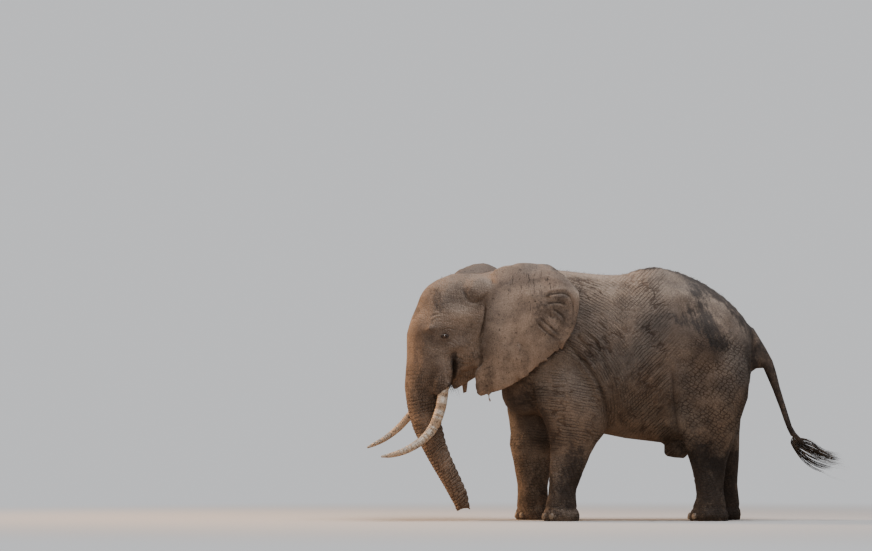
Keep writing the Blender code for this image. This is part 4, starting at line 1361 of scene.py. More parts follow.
def combine(tree, *values):
    """A vector of up to three values."""
    node = tree.nodes.new("ShaderNodeCombineXYZ")
    for socket, value in zip(node.inputs, values):
        fill(tree, socket, value)
    return node.outputs[0]


def edge_distance(tree, vector, scale, dimensions="3D", randomness=1.0):
    """Distance to the nearest border between the cells of a Voronoi pattern."""
    node = tree.nodes.new("ShaderNodeTexVoronoi")
    node.voronoi_dimensions = dimensions
    node.feature = "DISTANCE_TO_EDGE"
    fill(tree, node.inputs["Vector"], vector)
    node.inputs["Scale"].default_value = scale
    node.inputs["Randomness"].default_value = randomness
    return node.outputs["Distance"]


def noise(tree, vector, scale, detail=4.0, roughness=0.55, distortion=0.0):
    node = tree.nodes.new("ShaderNodeTexNoise")
    fill(tree, node.inputs["Vector"], vector)
    settings = {"Scale": scale, "Detail": detail, "Roughness": roughness, "Distortion": distortion}
    for label, value in settings.items():
        node.inputs[label].default_value = value
    return node.outputs["Fac"]


def mix(tree, factor, first, second, blend_type="MIX"):
    node = tree.nodes.new("ShaderNodeMix")
    node.data_type = "RGBA"
    node.blend_type = blend_type
    for index, value in ((0, factor), (6, first), (7, second)):
        fill(tree, node.inputs[index], value)
    return node.outputs[2]


def read_attribute(tree, name):
    """The four columns of a stored attribute."""
    node = tree.nodes.new("ShaderNodeAttribute")
    node.attribute_name = name
    split = tree.nodes.new("ShaderNodeSeparateColor")
    tree.links.new(node.outputs["Color"], split.inputs[0])
    return (*split.outputs[:3], node.outputs["Alpha"])


def read_value(tree, name):
    """A stored attribute of one column."""
    node = tree.nodes.new("ShaderNodeAttribute")
    node.attribute_name = name
    return node.outputs["Fac"]


def new_material(name):
    """A new material with its tree, its shader and the place on the object."""
    material = bpy.data.materials.new(name)
    material.use_nodes = True
    tree = material.node_tree
    place = tree.nodes.new("ShaderNodeTexCoord").outputs["Object"]
    return material, tree, tree.nodes["Principled BSDF"], place


def bump(tree, shader, height, distance):
    node = tree.nodes.new("ShaderNodeBump")
    node.inputs["Distance"].default_value = distance
    tree.links.new(height, node.inputs["Height"])
    tree.links.new(node.outputs["Normal"], shader.inputs["Normal"])


print("helpers for patterns and materials are ready")

# %% [markdown]
# ## Lines and cracks
#
# Wrinkles that cross leave small raised pads between them, longer than wide. Stripes would run on for
# ever, so the pads are the cells of a flat Voronoi pattern, laid out by the stored counts, and a finer one
# inside it. The cracks between are the borders of round cells in space, bent by a noise.

# %% Line family group
lines_group, group_in, group_out = group_of(
    "fold_lines",
    (("Count", "f"), ("Crossing", "f"), ("Bend", "f"), ("Other Bend", "f"), ("Amount", "f")),
    (("Groove", "f"),),
)
t = lines_group
count, crossing, bend, other_bend, amount = group_in.outputs[:5]
lattice = combine(t, math_node(t, "ADD", count, bend), math_node(t, "ADD", crossing, other_bend))
folds = []
for fineness, width, depth in ((1.0, 0.20, 1.0), (2.7, 0.22, 0.42)):
    edge = edge_distance(t, lattice, fineness, "2D", 0.5)
    folds.append(ramp(t, edge, 0.0, width, depth, 0.0))
t.links.new(times(t, larger(t, *folds), amount), group_out.inputs["Groove"])
print("line group:", len(t.nodes), "nodes")

# %% Crack group
WIDE_CELLS, FINE_CELLS, PEBBLES = 30.0, 85.0, 140.0
CRACK_BEND = (0.035, 0.035, 0.035)

crack_sockets = (("Crack", "f"), ("Pebble", "f"))
crack_group, group_in, group_out = group_of("skin_cracks", (("Place", "v"),), crack_sockets)
t = crack_group
jitter = t.nodes.new("ShaderNodeTexNoise")
t.links.new(group_in.outputs["Place"], jitter.inputs["Vector"])
jitter.inputs["Scale"].default_value = 9.0
bent = t.nodes.new("ShaderNodeVectorMath")
bent.operation = "MULTIPLY_ADD"
t.links.new(jitter.outputs["Color"], bent.inputs[0])
bent.inputs[1].default_value = CRACK_BEND
t.links.new(group_in.outputs["Place"], bent.inputs[2])
wide = ramp(t, edge_distance(t, bent.outputs[0], WIDE_CELLS), 0.0, 0.12, 1.0, 0.0)
fine = ramp(t, edge_distance(t, bent.outputs[0], FINE_CELLS), 0.0, 0.22, 1.0, 0.0)
t.links.new(larger(t, times(t, wide, 0.7), times(t, fine, 0.42)), group_out.inputs["Crack"])
t.links.new(noise(t, group_in.outputs["Place"], PEBBLES, 2.0), group_out.inputs["Pebble"])
print("crack group:", len(t.nodes), "nodes")

# %% [markdown]
# ## Relief and colour of the hide
#
# The relief is the deepest of all families, worn away here and there, with the cracks over it. The colour
# is laid on in layers: hide, dust from above with painted highlight on the brow and cheekbone, grit, wet mud
# with painted shadow on the chest and painted shade round the eyes, hatches of painted fold shade on the ear,
# painted shade where the body, the head and the ears lie in shadow, flecks, and last painted shade in the
# grooves. A single noise between two colours would look like stone.

# %% Relief of the hide
hide, t, shader, place = new_material("hide")
dim_in, streaky_in, hatched_in, _ = read_attribute(t, "marks_and_shade")
dark_in, pale_in, hollow_in, up_in = read_attribute(t, "tone")
ear_in, head_in, trunk_in, _ = read_attribute(t, "zone")


def use_group(tree, group, **values):
    node = tree.nodes.new("ShaderNodeGroup")
    node.node_tree = group
    for label, value in values.items():
        fill(tree, node.inputs[label], value)
    return node.outputs


def bend_of(scale, reach, fine_scale, fine_reach):
    """A wander from a broad and a fine noise, in line gaps."""
    broad = swing(t, noise(t, place, scale, 3.0), reach)
    return math_node(t, "ADD", broad, swing(t, noise(t, place, fine_scale, 2.0), fine_reach))


bends = {"Bend": bend_of(5.0, 1.3, 20.0, 0.5), "Other Bend": bend_of(4.0, 1.3, 15.0, 0.6)}
grooves = None
for part in ("body", "limb"):
    columns = (read_attribute(t, f"{part}_{kind}") for kind in ("counts", "crossings", "amounts"))
    for count, crossing, amount in zip(*columns):
        one = use_group(t, lines_group, Count=count, Crossing=crossing, Amount=amount, **bends)["Groove"]
        grooves = one if grooves is None else larger(t, grooves, one)
worn = ramp(t, noise(t, place, 5.0, 4.0, 0.6), 0.32, 0.58, 0.35, 1.0)
grooves = times(t, grooves, worn)
crack = use_group(t, crack_group, Place=place)
crack_share = times(t, crack["Crack"], ramp(t, ear_in, 0.0, 1.0, 0.60, 0.42))
relief = larger(t, grooves, crack_share)
crack_depth = larger(t, grooves, times(t, crack_share, 0.30))
print("relief of the hide:", len(t.nodes), "nodes")

# %% Bare hide
HIDE = (0.192, 0.142, 0.108, 1)
HIDE_GREY = (0.172, 0.147, 0.128, 1)
HIDE_DARK = (0.026, 0.020, 0.018, 1)
# Pale dust; the pale strokes also use it for the painted highlight on the brow's fold and the cheekbone.
HIDE_DUST_AND_HIGHLIGHT = (0.330, 0.265, 0.212, 1)
HIDE_EAR = (0.285, 0.218, 0.172, 1)
HIDE_FACE = (0.250, 0.190, 0.150, 1)


def streak_noise(along, across, scale):
    """Noise drawn out along one direction of the side view."""
    split = t.nodes.new("ShaderNodeSeparateXYZ")
    t.links.new(place, split.inputs[0])
    ways = [
        math_node(t, "ADD", times(t, split.outputs[1], y_share), times(t, split.outputs[2], z_share))
        for y_share, z_share in (along, across)
    ]
    return noise(t, combine(t, *ways, times(t, split.outputs[0], 0.5)), scale, 4.0, 0.6)


broad = noise(t, place, 1.3, 5.0, 0.6)
blotch = noise(t, place, 6.0, 6.0, 0.65)
speck = noise(t, place, 26.0, 5.0, 0.7)
grit = noise(t, place, 60.0, 4.0, 0.75)
cloud = noise(t, place, 3.2, 5.0, 0.6, 0.4)
runs = streak_noise((0.06, 0.20), (1.0, 0.30), 26.0)
tears = mix(t, streaky_in, blotch, runs)
colour = mix(t, ramp(t, broad, 0.35, 0.65), HIDE, HIDE_GREY)
colour = mix(t, times(t, larger(t, head_in, trunk_in), 0.85), colour, HIDE_FACE)
colour = mix(t, ear_in, colour, HIDE_EAR)
colour = mix(t, times(t, ramp(t, cloud, 0.42, 0.66), 0.40), colour, HIDE_DARK)
print("bare hide:", len(t.nodes), "nodes")

# %% Dust with painted highlight, grit, and mud with painted shade
# Dust on what faces up, and the pale strokes: dust, with painted highlight on the brow's fold and cheekbone.
upward = times(t, ramp(t, up_in, 0.35, 1.0), ramp(t, blotch, 0.30, 0.62, 0.25, 0.9))
pale_patches = times(t, pale_in, ramp(t, tears, 0.36, 0.62))
dust_and_highlight = math_node(t, "MAXIMUM", upward, pale_patches, clamp=True)
colour = mix(t, times(t, dust_and_highlight, 0.62), colour, HIDE_DUST_AND_HIGHLIGHT)
colour = mix(t, ramp(t, grit, 0.40, 0.56, 0.32, 0.0), colour, HIDE_DARK)
colour = mix(t, ramp(t, grit, 0.55, 0.68, 0.0, 0.28), colour, HIDE_DUST_AND_HIGHLIGHT)
frayed = math_node(t, "ADD", dark_in, swing(t, tears, ramp(t, ear_in, 0.0, 1.0, 1.9, 1.3)))
frayed = math_node(t, "ADD", frayed, swing(t, speck, 1.2))
# Wet mud, and the painted shade that the chest strokes and the rings round the eyes add to the dark tone.
wet_and_shade = times(t, ramp(t, frayed, 0.30, 1.0), ramp(t, dark_in, 0.02, 0.30))
colour = mix(t, times(t, wet_and_shade, ramp(t, ear_in, 0.0, 1.0, 0.90, 0.66)), colour, HIDE_DARK)
print("with dust and mud:", len(t.nodes), "nodes")

# %% Hatches of painted fold shade, painted dimming, flecks and painted shade in the grooves
# Painted shade: GROOVE_DARK darkens the grooves and the folds, DIMMED the places of the dim strokes.
GROOVE_DARK = (0.24, 0.20, 0.18, 1)
DIMMED = (0.46, 0.45, 0.46, 1)

hatches = ramp(t, streak_noise((0.0, 0.22), (1.0, 0.0), 34.0), 0.54, 0.66)
colour = mix(t, times(t, hatches, hatched_in), colour, HIDE_DARK)
# Dimming towards DIMMED where the dim strokes lie: mostly painted shade.
colour = mix(t, dim_in, colour, DIMMED, "MULTIPLY")
flecks = times(t, ramp(t, speck, 0.58, 0.68), ramp(t, ear_in, 0.0, 1.0, 0.40, 0.80))
colour = mix(t, flecks, colour, HIDE_DARK)
# Painted shade in the grooves of the lines and cracks, and in the sculpted folds by their depth.
shade = times(t, relief, ramp(t, ear_in, 0.0, 1.0, 0.95, 0.5))
colour = mix(t, larger(t, shade, times(t, hollow_in, 0.42)), colour, GROOVE_DARK, "MULTIPLY")
print("with flecks and grooves:", len(t.nodes), "nodes")

# %% Shine and bump of the hide
BUMP_DEPTH = 0.014

t.links.new(colour, shader.inputs["Base Color"])
t.links.new(ramp(t, wet_and_shade, 0.0, 1.0, 0.88, 0.70), shader.inputs["Roughness"])
shader.inputs["Specular IOR Level"].default_value = 0.25
bump(t, shader, math_node(t, "SUBTRACT", times(t, crack["Pebble"], 0.06), crack_depth), BUMP_DEPTH)
skin.data.materials.clear()
skin.data.materials.append(hide)
print("hide:", len(t.nodes), "nodes, bump", BUMP_DEPTH)

# %% Replace the flesh
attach(skin, "root")
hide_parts(*FLESH)
print("the skin stands for", len(FLESH), "nodes")

# %% [markdown]
# ## Eyes
#
# The eyeball is dark amber-brown with a round pupil and a dark rim round the iris. The cornea bulges a
# little. An iris could be a disc of its own, but at this size its edge would flicker. The sphere's poles
# lie on the line of sight instead, so the iris is a matter of the angle from that line, stored on each
# vertex. The eye is wet, so a clear coat gives it the only sharp highlight on the animal.

# %% Eyeballs
EYE_BALL = 0.0275
EYE_OUT = 0.3765
EYE_PARTS = 40
CORNEA_BULGE, CORNEA_ANGLE = 0.07, 0.55
LINE_OF_SIGHT = Vector((0.93, -0.34, -0.08)).normalized()


def eyeball(bm, side):
    """A ball that looks outward, with the angle from its line of sight on each vertex."""
    sight = LINE_OF_SIGHT.copy()
    sight.x *= side
    sight = (HEAD_SPACE.to_3x3() @ sight).normalized()
    middle = HEAD_SPACE @ Vector((side * EYE_OUT, EYE_PLACE.y, EYE_PLACE.z))
    turn = sight.to_track_quat("Z", "Y").to_matrix().to_4x4()
    gaze_layer = attribute_of(bm, "gaze")
    ball = bmesh.ops.create_uvsphere(bm, u_segments=EYE_PARTS, v_segments=EYE_PARTS, radius=EYE_BALL)
    for vert in ball["verts"]:
        angle = math.acos(max(-1, min(1, vert.co.z / EYE_BALL)))
        vert[gaze_layer] = angle
        vert.co *= 1 + CORNEA_BULGE * math.exp(-((angle / CORNEA_ANGLE) ** 4))
        vert.co = Matrix.Translation(middle) @ turn @ vert.co


eyes_bm = bmesh.new()
for side in (1, -1):
    eyeball(eyes_bm, side)
eyes = new_object("eyes", eyes_bm)
print("eyes:", len(eyes.data.polygons), "faces")

# %% Iris, pupil and cornea
PUPIL = (0.002, 0.002, 0.002, 1)
IRIS_DARK, IRIS_LIGHT = (0.045, 0.018, 0.007, 1), (0.13, 0.055, 0.018, 1)
IRIS_RIM = (0.008, 0.005, 0.004, 1)
EYE_WHITE = (0.10, 0.06, 0.045, 1)

eye_material, t, shader, place = new_material("eye")
angle = read_value(t, "gaze")
iris = mix(t, noise(t, place, 260.0, 3.0), IRIS_DARK, IRIS_LIGHT)
colour = mix(t, ramp(t, angle, 0.22, 0.27), PUPIL, iris)
colour = mix(t, ramp(t, angle, 0.50, 0.64), colour, IRIS_RIM)
colour = mix(t, ramp(t, angle, 0.72, 0.90), colour, EYE_WHITE)
t.links.new(colour, shader.inputs["Base Color"])
for label, value in {"Roughness": 0.12, "Coat Weight": 1.0, "Coat Roughness": 0.03}.items():
    shader.inputs[label].default_value = value
eyes.data.materials.append(eye_material)
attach(eyes, "root")
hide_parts("eye_left", "eye_right")
print("eye material:", len(t.nodes), "nodes")

# %% [markdown]
# ## Tusks
#
# A tusk is a bent, slowly tapering cone, worn smooth and blunt at its tip. A bent cone primitive would
# taper evenly. So the tusk is a tube through rows of a place and a radius in head space, made dense by a
# smooth curve. The tube keeps how far along and how far round each vertex lies, because ivory's cracks run
# lengthwise.

# %% Swept tusks
TUSK_ROWS = {
    "left": (
        (0.285, -2.030, 1.92, 0.056),
        (0.305, -2.072, 1.66, 0.066),
        (0.338, -2.122, 1.40, 0.067),
        (0.370, -2.225, 1.165, 0.063),
        (0.400, -2.380, 1.005, 0.053),
        (0.425, -2.580, 0.890, 0.044),
        (0.440, -2.760, 0.832, 0.032),
        (0.447, -2.890, 0.814, 0.015),
    ),
    "right": (
        (-0.285, -1.980, 1.92, 0.055),
        (-0.310, -2.085, 1.66, 0.058),
        (-0.345, -2.215, 1.48, 0.054),
        (-0.380, -2.378, 1.31, 0.049),
        (-0.400, -2.503, 1.172, 0.044),
        (-0.422, -2.664, 1.042, 0.036),
        (-0.437, -2.805, 0.965, 0.027),
        (-0.444, -2.896, 0.922, 0.013),
    ),
}
TUSK_SIDES = 28
ROWS_BETWEEN = 9
TIP_ROUNDING = ((0.35, 0.9), (0.6, 0.68), (0.75, 0.3))  # distance past the tip and size, in tip radii
UNEVEN = 0.012

tusk_bm = bmesh.new()
random = np.random.default_rng(SEED)
for rows in TUSK_ROWS.values():
    dense = curve_through(rows, ROWS_BETWEEN)
    tip = dense[-1]
    way = tip[:3] - dense[-2][:3]
    way /= np.linalg.norm(way)
    cap = [(*(tip[:3] + way * tip[3] * reach), tip[3] * size) for reach, size in TIP_ROUNDING]
    placed = []
    for row in np.vstack([dense, cap]):
        placed.append((*(HEAD_SPACE @ Vector(row[:3])), float(row[3] * (1 + UNEVEN * random.normal()))))
    tube(tusk_bm, placed, TUSK_SIDES)
bmesh.ops.recalc_face_normals(tusk_bm, faces=tusk_bm.faces)
tusks = new_object("tusks", tusk_bm)
print("tusks:", len(tusks.data.polygons), "faces")

# %% [markdown]
# ## Ivory
#
# Ivory is cream, stained brown towards the lip and in patches, with fine lengthwise cracks and dark
# specks. A noise in space would cut across the cracks. Here the noise is laid out by the tube's own
# measures: stretched along the tusk for the cracks, and less so for the stains. It isn't turned into a
# group, because nothing else is made of ivory.

# %% Ivory
IVORY_LIGHT, IVORY_BROWN = (0.46, 0.395, 0.32, 1), (0.29, 0.23, 0.175, 1)
ROOT_STAIN = (0.17, 0.125, 0.09, 1)
SPECKS = (0.06, 0.045, 0.035, 1)

ivory, t, shader, place = new_material("ivory")
along = read_value(t, "along")
round_share = times(t, math_node(t, "ABSOLUTE", read_value(t, "turn")), 1 / math.pi)
streaks = noise(t, combine(t, times(t, along, 0.9), times(t, round_share, 5.0)), 7.0, 6.0, 0.7)
stain = noise(t, combine(t, times(t, along, 5.0), times(t, round_share, 2.2)), 1.5, 6.0, 0.7)
specks = noise(t, place, 42.0, 4.0, 0.6)
root_stain = times(t, ramp(t, along, 0.05, 0.75, 1.0, 0.25), ramp(t, stain, 0.34, 0.62))
colour = mix(t, ramp(t, streaks, 0.35, 0.65), IVORY_LIGHT, IVORY_BROWN)
colour = mix(t, times(t, root_stain, 0.55), colour, ROOT_STAIN)
colour = mix(t, ramp(t, specks, 0.53, 0.62, 0.0, 0.85), colour, SPECKS)
t.links.new(colour, shader.inputs["Base Color"])
t.links.new(ramp(t, stain, 0.3, 0.7, 0.34, 0.55), shader.inputs["Roughness"])
bump(t, shader, streaks, 0.003)
tusks.data.materials.append(ivory)
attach(tusks, "root")
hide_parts("tusk_left", "tusk_right")
print("ivory:", len(t.nodes), "nodes")

# %% [markdown]
# ## Toenails
#
# Each nail is a thick plate of horn set in the front of the foot. The solids have the right size but hard
# corners. A bevel would leave their flats, and a subdivided copy rounds them altogether. Horn is
# grey-brown, paler at its worn lower edge.

# %% Rounded nails
NAILS = tuple(sorted(name for name in frame["nodes"] if name.startswith("nail_")))

nail_bm, _ = joined(NAILS)
nails = new_object("toenails", nail_bm)
round_off = nails.modifiers.new("round", "SUBSURF")
round_off.levels = round_off.render_levels = 2
apply_modifiers(nails)
nails.data.shade_smooth()
print("nails:", len(NAILS), "with", len(nails.data.polygons), "faces")

# %% Horn
HORN_LIGHT, HORN_DARK = (0.20, 0.155, 0.115, 1), (0.085, 0.065, 0.050, 1)
WORN_EDGE = (0.27, 0.22, 0.17, 1)

horn, t, shader, place = new_material("horn")
split = t.nodes.new("ShaderNodeSeparateXYZ")
t.links.new(place, split.inputs[0])
grime = noise(t, place, 40.0, 5.0, 0.65)
colour = mix(t, ramp(t, grime, 0.35, 0.65), HORN_LIGHT, HORN_DARK)
colour = mix(t, ramp(t, split.outputs[2], 0.02, 0.055, 0.55, 0.0), colour, WORN_EDGE)
t.links.new(colour, shader.inputs["Base Color"])
shader.inputs["Roughness"].default_value = 0.55
bump(t, shader, grime, 0.003)
nails.data.materials.append(horn)
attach(nails, "root")
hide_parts(*NAILS)
print("horn:", len(t.nodes), "nodes")

# %% [markdown]
# ## Hair
#
# Hair on an elephant is sparse: a brush of long wires at the tail's end, bristles on the chin, lashes, and
# scattered short bristles that show along the back and the crown. Particle hair would not reach the
# export, so every hair is a thin three-sided spike of mesh. Its UV map holds it at its root's place on a
# side view of the skin, near side above, far side below.

# %% Place of a root on the skin's side view
BAKE_PATCH = 0.003
LENGTH_AHEAD, LENGTH_SEEN, HEIGHT_SEEN = 3.1, 6.4, 3.5
BAKE_MARGIN = 0.01


def bake_place(point):
    body = Vector(point) - BODY_ORIGIN
    across = min(max((body.y + LENGTH_AHEAD) / LENGTH_SEEN, BAKE_MARGIN), 1 - BAKE_MARGIN)
    up = min(max(body.z / HEIGHT_SEEN, BAKE_MARGIN), 1 - BAKE_MARGIN)
    return across, up / 2 + (0.5 if body.x >= 0 else 0.0)


print("the eye's place on the map:", [round(v, 3) for v in bake_place(eye_left)])

# %% Spikes and strands
HAIR_SIDES = 3
TAPER = 0.45
SPIKES = {}  # one spike for each number of lengths


def spike(lengths):
    """A three-sided spike of radius and height one, cut into equal lengths."""
    bm = bmesh.new()
    bmesh.ops.create_cone(bm, cap_ends=True, segments=HAIR_SIDES, radius1=1, radius2=0, depth=1)
    bmesh.ops.remove_doubles(bm, verts=bm.verts, dist=1e-4)
    bmesh.ops.translate(bm, verts=bm.verts, vec=(0, 0, 0.5))
    for k in range(1, lengths):
        geom = bm.verts[:] + bm.edges[:] + bm.faces[:]
        bmesh.ops.bisect_plane(bm, geom=geom, plane_co=(0, 0, k / lengths), plane_no=(0, 0, 1))
    mesh = bpy.data.meshes.new("spike")
    bm.to_mesh(mesh)
    bm.free()
    return mesh


def strand(bm, points, thick):
    """A spike laid along the points, thinning to its tip, with its own small patch of the UV map."""
    uv_layer = bm.loops.layers.uv.verify()
    points = [Vector(point) for point in points]
    last = len(points) - 1
    if last not in SPIKES:
        SPIKES[last] = spike(last)
    vert_count, face_count = len(bm.verts), len(bm.faces)
    bm.from_mesh(SPIKES[last])
    bm.verts.ensure_lookup_table()
    bm.faces.ensure_lookup_table()
    across_at, up_at = bake_place(points[0])
    for face in bm.faces[face_count:]:
        for index, loop in enumerate(face.loops):
            side_share = (index % HAIR_SIDES) / HAIR_SIDES
            loop[uv_layer].uv = (
                across_at + BAKE_PATCH * (side_share - 0.5),
                up_at + BAKE_PATCH * (loop.vert.co.z - 0.5),
            )
    for vert in bm.verts[vert_count:]:
        index = round(vert.co.z * last)
        turn = math.atan2(vert.co.y, vert.co.x)
        ahead = points[min(index + 1, last)] - points[min(index, last - 1)]
        across = ahead.orthogonal().normalized()
        other = ahead.cross(across).normalized()
        radius = thick * (1 - index / last) ** TAPER
        vert.co = points[index] + radius * (math.cos(turn) * across + math.sin(turn) * other)


print("a hair has", HAIR_SIDES, "sides")

# %% Bristle material and finished pieces of hair
BRISTLE_BLACK, BRISTLE_BROWN = (0.012, 0.009, 0.008, 1), (0.060, 0.040, 0.026, 1)

hair_material, t, shader, place = new_material("bristle")
colour = mix(t, ramp(t, noise(t, place, 14.0, 3.0), 0.4, 0.62), BRISTLE_BLACK, BRISTLE_BROWN)
t.links.new(colour, shader.inputs["Base Color"])
shader.inputs["Roughness"].default_value = 0.42


def hair_piece(name, bm, material):
    obj = new_object(name, bm)
    obj.data.uv_layers[0].name = "OFBake"
    obj.data.materials.append(material)
    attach(obj, "root")
    return obj


print("bristle material:", len(t.nodes), "nodes")

# %% [markdown]
# ## The tail's brush
#
# The wires stand in two rows along the tail's end and fan out behind it. Hairs scattered evenly over the
# fan would look like a broom. They are laid in clumps with a common swing and length, and each hair drifts
# a little from its clump. A few thin ones hang loose.

# %% Course of a tail hair
BRUSH_TOP = ((2.54, 1.03), (2.62, 1.02), (2.70, 0.99), (2.84, 0.875), (3.12, 0.815))
BRUSH_MIDDLE = ((2.47, 0.98), (2.58, 0.92), (2.72, 0.86), (2.92, 0.79), (3.17, 0.735))
BRUSH_LOW = ((2.42, 0.98), (2.50, 0.83), (2.62, 0.71), (2.78, 0.63), (3.06, 0.57))
BRUSH_ROOTS = ((2.42, 1.13), (2.60, 0.965))


def brush_path(share, root):
    """The course of a tail hair, from the top of the fan at 0 to its lower edge at 1."""
    top, middle, low = (np.array(rows) for rows in (BRUSH_TOP, BRUSH_MIDDLE, BRUSH_LOW))
    upper, lower = np.array(BRUSH_ROOTS)
    start = upper + (lower - upper) * root
    half = 2 * share
    course = top * (1 - half) + middle * half if share < 0.5 else middle * (2 - half) + low * (half - 1)
    return np.vstack([start, course])


print("a tail hair at half the fan:", brush_path(0.5, 0.5).round(2).tolist())

# %% Tail brush
CLUMPS, HAIRS_IN_CLUMP, LOOSE_HAIRS = 30, 10, 7
ROWS_OF_HAIR = 4

random = np.random.default_rng(SEED + 1)
brush_bm = bmesh.new()
for clump in range(CLUMPS):
    share = (clump + random.uniform(0, 1)) / CLUMPS
    aside = random.normal() * 0.035
    clump_swing = random.normal(size=2) * 0.012
    length = random.uniform(0.90, 1.0)
    root = random.uniform(0, 1) ** 0.6
    for _ in range(HAIRS_IN_CLUMP):
        path = curve_through(brush_path(np.clip(share + 0.008 * random.normal(), 0, 1), root), ROWS_OF_HAIR)
        path = path[: max(5, int(len(path) * length * random.uniform(0.9, 1.0)))]
        far_out = np.linspace(0, 1, len(path))
        drift = random.normal(size=3) * 0.0035
        bow = np.sin(far_out * math.pi * random.uniform(0.8, 1.6))
        points = []
        for spot, out, curl in zip(path, far_out, bow):
            x = aside * out**1.2 + 0.018 * math.sin(9 * out + 5 * share) * out + drift[0] * (1 + 2 * out)
            y = spot[0] + clump_swing[0] * curl + drift[1] * (0.3 + 2 * out)
            z = spot[1] + clump_swing[1] * curl + drift[2] * (0.3 + 2 * out)
            points.append(BODY_ORIGIN + Vector((x, y, z)))
        strand(brush_bm, points, random.uniform(0.0020, 0.0033))
for _ in range(LOOSE_HAIRS):
    path = curve_through(brush_path(random.uniform(0.2, 1), random.uniform(0, 1)), ROWS_OF_HAIR)
    fall = random.uniform(0.05, 0.22)
    points = []
    for (y, z), out in zip(path, np.linspace(0, 1, len(path))):
        x = 0.05 * out * random.uniform(-1, 1)
        points.append(BODY_ORIGIN + Vector((x, y + 0.04 * out, z - fall * out**2)))
    strand(brush_bm, points, 0.0012)
brush = hair_piece("tail_brush", brush_bm, hair_material)
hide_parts("tail_tuft")
print("tail brush", len(brush.data.polygons), "faces")

# %% [markdown]
# ## Bristles and lashes
#
# Short hairs must stand in the sculpted skin, not in the solids, so each root is found by a ray from
# outside. Scattering by face would need a count for every region. Rays aimed at the chin, the lids and the
# back need only a place and a spread.

# %% Roots and bristles
ROOT_DEPTH = 0.004
BENDS = 3

random = np.random.default_rng(SEED + 2)
skin_tree = BVHTree.FromObject(skin, bpy.context.evaluated_depsgraph_get())
bristle_bm = bmesh.new()


def bristle(root, way, length, thick, droop=0.3):
    points = []
    for k in range(BENDS + 1):
        out = k / BENDS
        points.append(root + way * (length * out - ROOT_DEPTH) + Vector((0, 0, -droop * length * out * out)))
    strand(bristle_bm, points, thick)


def on_skin(start, way):
    """Where a ray from outside meets the skin, and the normal there."""
    place, normal, _, _ = skin_tree.ray_cast(start, way)
    return place, normal


DOWN = Vector((0, 0, -1))
print("the back's height over the middle:", round(on_skin(BODY_ORIGIN - 4 * DOWN, DOWN)[0].z, 3))

# %% Chin bristles
CHIN_BRISTLES = 90
CHIN_TOP = 1.95

count = 0
while count < CHIN_BRISTLES:
    start = HEAD_SPACE @ Vector((random.normal() * 0.10, -1.92 + random.normal() * 0.06, 1.2))
    place, normal = on_skin(start, -DOWN)
    if place is None or place.z > CHIN_TOP:
        continue
    way = (normal + Vector(random.normal(size=3) * 0.3) + Vector((0, 0.5, -0.4))).normalized()
    bristle(place, way, random.uniform(0.05, 0.13), 0.0009)
    count += 1
print("chin bristles:", count)

# %% Lashes
LASHES = 34

for side in (1, -1):
    sideways = HEAD_SPACE.to_3x3() @ Vector((-side, 0, 0))
    for k in range(LASHES):
        share = (k + random.uniform(0, 1)) / LASHES
        across = (share - 0.5) * 2 * LID_HALF_LENGTH * 0.95
        up = LID_HALF_HEIGHT * math.sqrt(max(0, 1 - (across / LID_HALF_LENGTH) ** 2)) + 0.001
        start = HEAD_SPACE @ Vector((side * 0.7, EYE_PLACE.y + across, EYE_PLACE.z + up))
        place, normal = on_skin(start, sideways)
        if place is None:
            continue
        stray_way = Vector(random.normal(size=3) * 0.08)
        way = (-sideways + Vector((0, 8 * across, -0.45)) + stray_way).normalized()
        bristle(place, way, random.uniform(0.030, 0.048), 0.0007, 0.5)
print("with lashes:", len(bristle_bm.faces), "faces")

# %% Bristles of the back and the crown
BACK_BRISTLES = 900
NECK_AT = -1.2

for _ in range(BACK_BRISTLES):
    along = random.uniform(-2.1, 1.9)
    aside = random.normal() * (0.10 if along > NECK_AT else 0.16)
    start = BODY_ORIGIN + Vector((aside, along, 4.0))
    place, normal = on_skin(start, DOWN)
    if place is None or place.z < 2.2:
        continue
    way = (normal + Vector((0, 0.7, 0)) + Vector(random.normal(size=3) * 0.25)).normalized()
    bristle(place, way, random.uniform(0.018, 0.045), 0.0009, 0.1)
bristles = hair_piece("bristles", bristle_bm, hair_material)
print("bristles", len(bristles.data.polygons), "faces")

# %% [markdown]
# ## Floor
#
# A plain pale floor. A bent backdrop would need to be moved with the view. Here the floor is very large
# and fades into the surround by the distance from the animal, so no edge shows from any side. What the
# camera sees is pale grey, and what it throws back up on the belly is the warm tone of dry ground.

# %% Floor
FLOOR_SIZE = 400.0
FLOOR_TONE = (0.42, 0.415, 0.41, 1)
FLOOR_BOUNCE = (0.44, 0.33, 0.23, 1)
BACKDROP = (0.70, 0.71, 0.73, 1)
FADE_FROM, FADE_TO = 2.5, 13.0

floor_bm = bmesh.new()
bmesh.ops.create_grid(floor_bm, x_segments=1, y_segments=1, size=FLOOR_SIZE / 2)
floor = new_object("floor", floor_bm)
floor_material, t, shader, place = new_material("pale_floor")
shader.inputs["Roughness"].default_value = 0.9
seen = t.nodes.new("ShaderNodeLightPath").outputs["Is Camera Ray"]
t.links.new(mix(t, seen, FLOOR_BOUNCE, FLOOR_TONE), shader.inputs["Base Color"])
far = t.nodes.new("ShaderNodeVectorMath")
far.operation = "LENGTH"
t.links.new(place, far.inputs[0])
glow = t.nodes.new("ShaderNodeEmission")
glow.inputs["Color"].default_value = BACKDROP
faded = t.nodes.new("ShaderNodeMixShader")
t.links.new(ramp(t, far.outputs["Value"], FADE_FROM, FADE_TO), faded.inputs[0])
t.links.new(shader.outputs[0], faded.inputs[1])
t.links.new(glow.outputs[0], faded.inputs[2])
t.links.new(faded.outputs[0], t.nodes["Material Output"].inputs["Surface"])
floor.data.materials.append(floor_material)
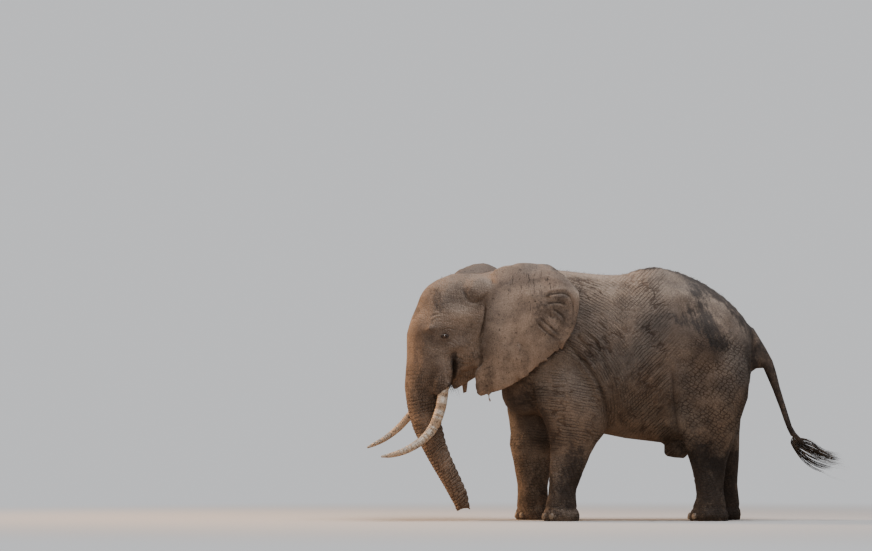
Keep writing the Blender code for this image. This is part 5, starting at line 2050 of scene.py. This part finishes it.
print("floor:", FLOOR_SIZE, "m, fades from", FADE_FROM, "to", FADE_TO)

# %% [markdown]
# ## Light
#
# A low evening sun warms the face and the front of the legs, and the sky cools the back. A sun lamp would
# cast hard shadows, so the key is a soft disc high in front of the animal. A wide one overhead is the sky,
# a weak one behind the camera opens the shadows, and the surround is grey.

# %% Light


def softbox(name, place, aim, size, power, colour):
    light = bpy.data.lights.new(name, "AREA")
    light.shape = "DISK"
    light.size = size
    light.energy = power
    light.color = colour
    obj = bpy.data.objects.new(name, light)
    obj.location = place
    obj.rotation_euler = (Vector(aim) - Vector(place)).to_track_quat("-Z", "Y").to_euler()
    bpy.context.scene.collection.objects.link(obj)


AMBIENT = 0.42

softbox("key", (-3.5, -15, 8), (0, -0.5, 2.0), 4, 4300, (1.0, 0.58, 0.29))
softbox("sky", (2, 1, 13), (0, 0, 1.5), 8, 2150, (0.98, 0.98, 1.0))
softbox("fill", (16, -2, 5), (0, 0, 1.5), 7, 660, (1.0, 0.87, 0.73))
world = bpy.data.worlds.new("studio")
bpy.context.scene.world = world
world.use_nodes = True
t = world.node_tree
surround = t.nodes["Background"]
surround.inputs["Color"].default_value = BACKDROP
seen = t.nodes.new("ShaderNodeLightPath").outputs["Is Camera Ray"]
t.links.new(ramp(t, seen, 0.0, 1.0, AMBIENT, 1.0), surround.inputs["Strength"])
print("lights:", [light.name for light in bpy.data.lights])

# %% [markdown]
# ## Camera
#
# The camera stands far off at the height of a person's chest with a long lens, so near and far legs keep
# the same size, and looks slightly up. Its lens follows from the width that the view takes in at the
# animal.

# %% Camera
CAMERA_DISTANCE = 50.0
CAMERA_HEIGHT = 1.2
AIM_Y, AIM_Z = -2.083, 3.105
WIDTH_SEEN = 11.073
SENSOR = 36.0
FAR_END = 500

camera_data = bpy.data.cameras.new("camera")
camera_data.sensor_width = SENSOR
camera_data.lens = SENSOR * CAMERA_DISTANCE / WIDTH_SEEN
camera_data.clip_end = FAR_END
camera = bpy.data.objects.new("camera", camera_data)
camera.location = BODY_ORIGIN + Vector((CAMERA_DISTANCE, AIM_Y, CAMERA_HEIGHT))
aim = BODY_ORIGIN + Vector((0, AIM_Y, AIM_Z))
camera.rotation_euler = (aim - camera.location).to_track_quat("-Z", "Y").to_euler()
bpy.context.scene.collection.objects.link(camera)
bpy.context.scene.camera = camera
print("lens:", round(camera_data.lens, 1), "mm from", CAMERA_DISTANCE, "m")

# %% Sizes and finish
bpy.context.view_layer.update()
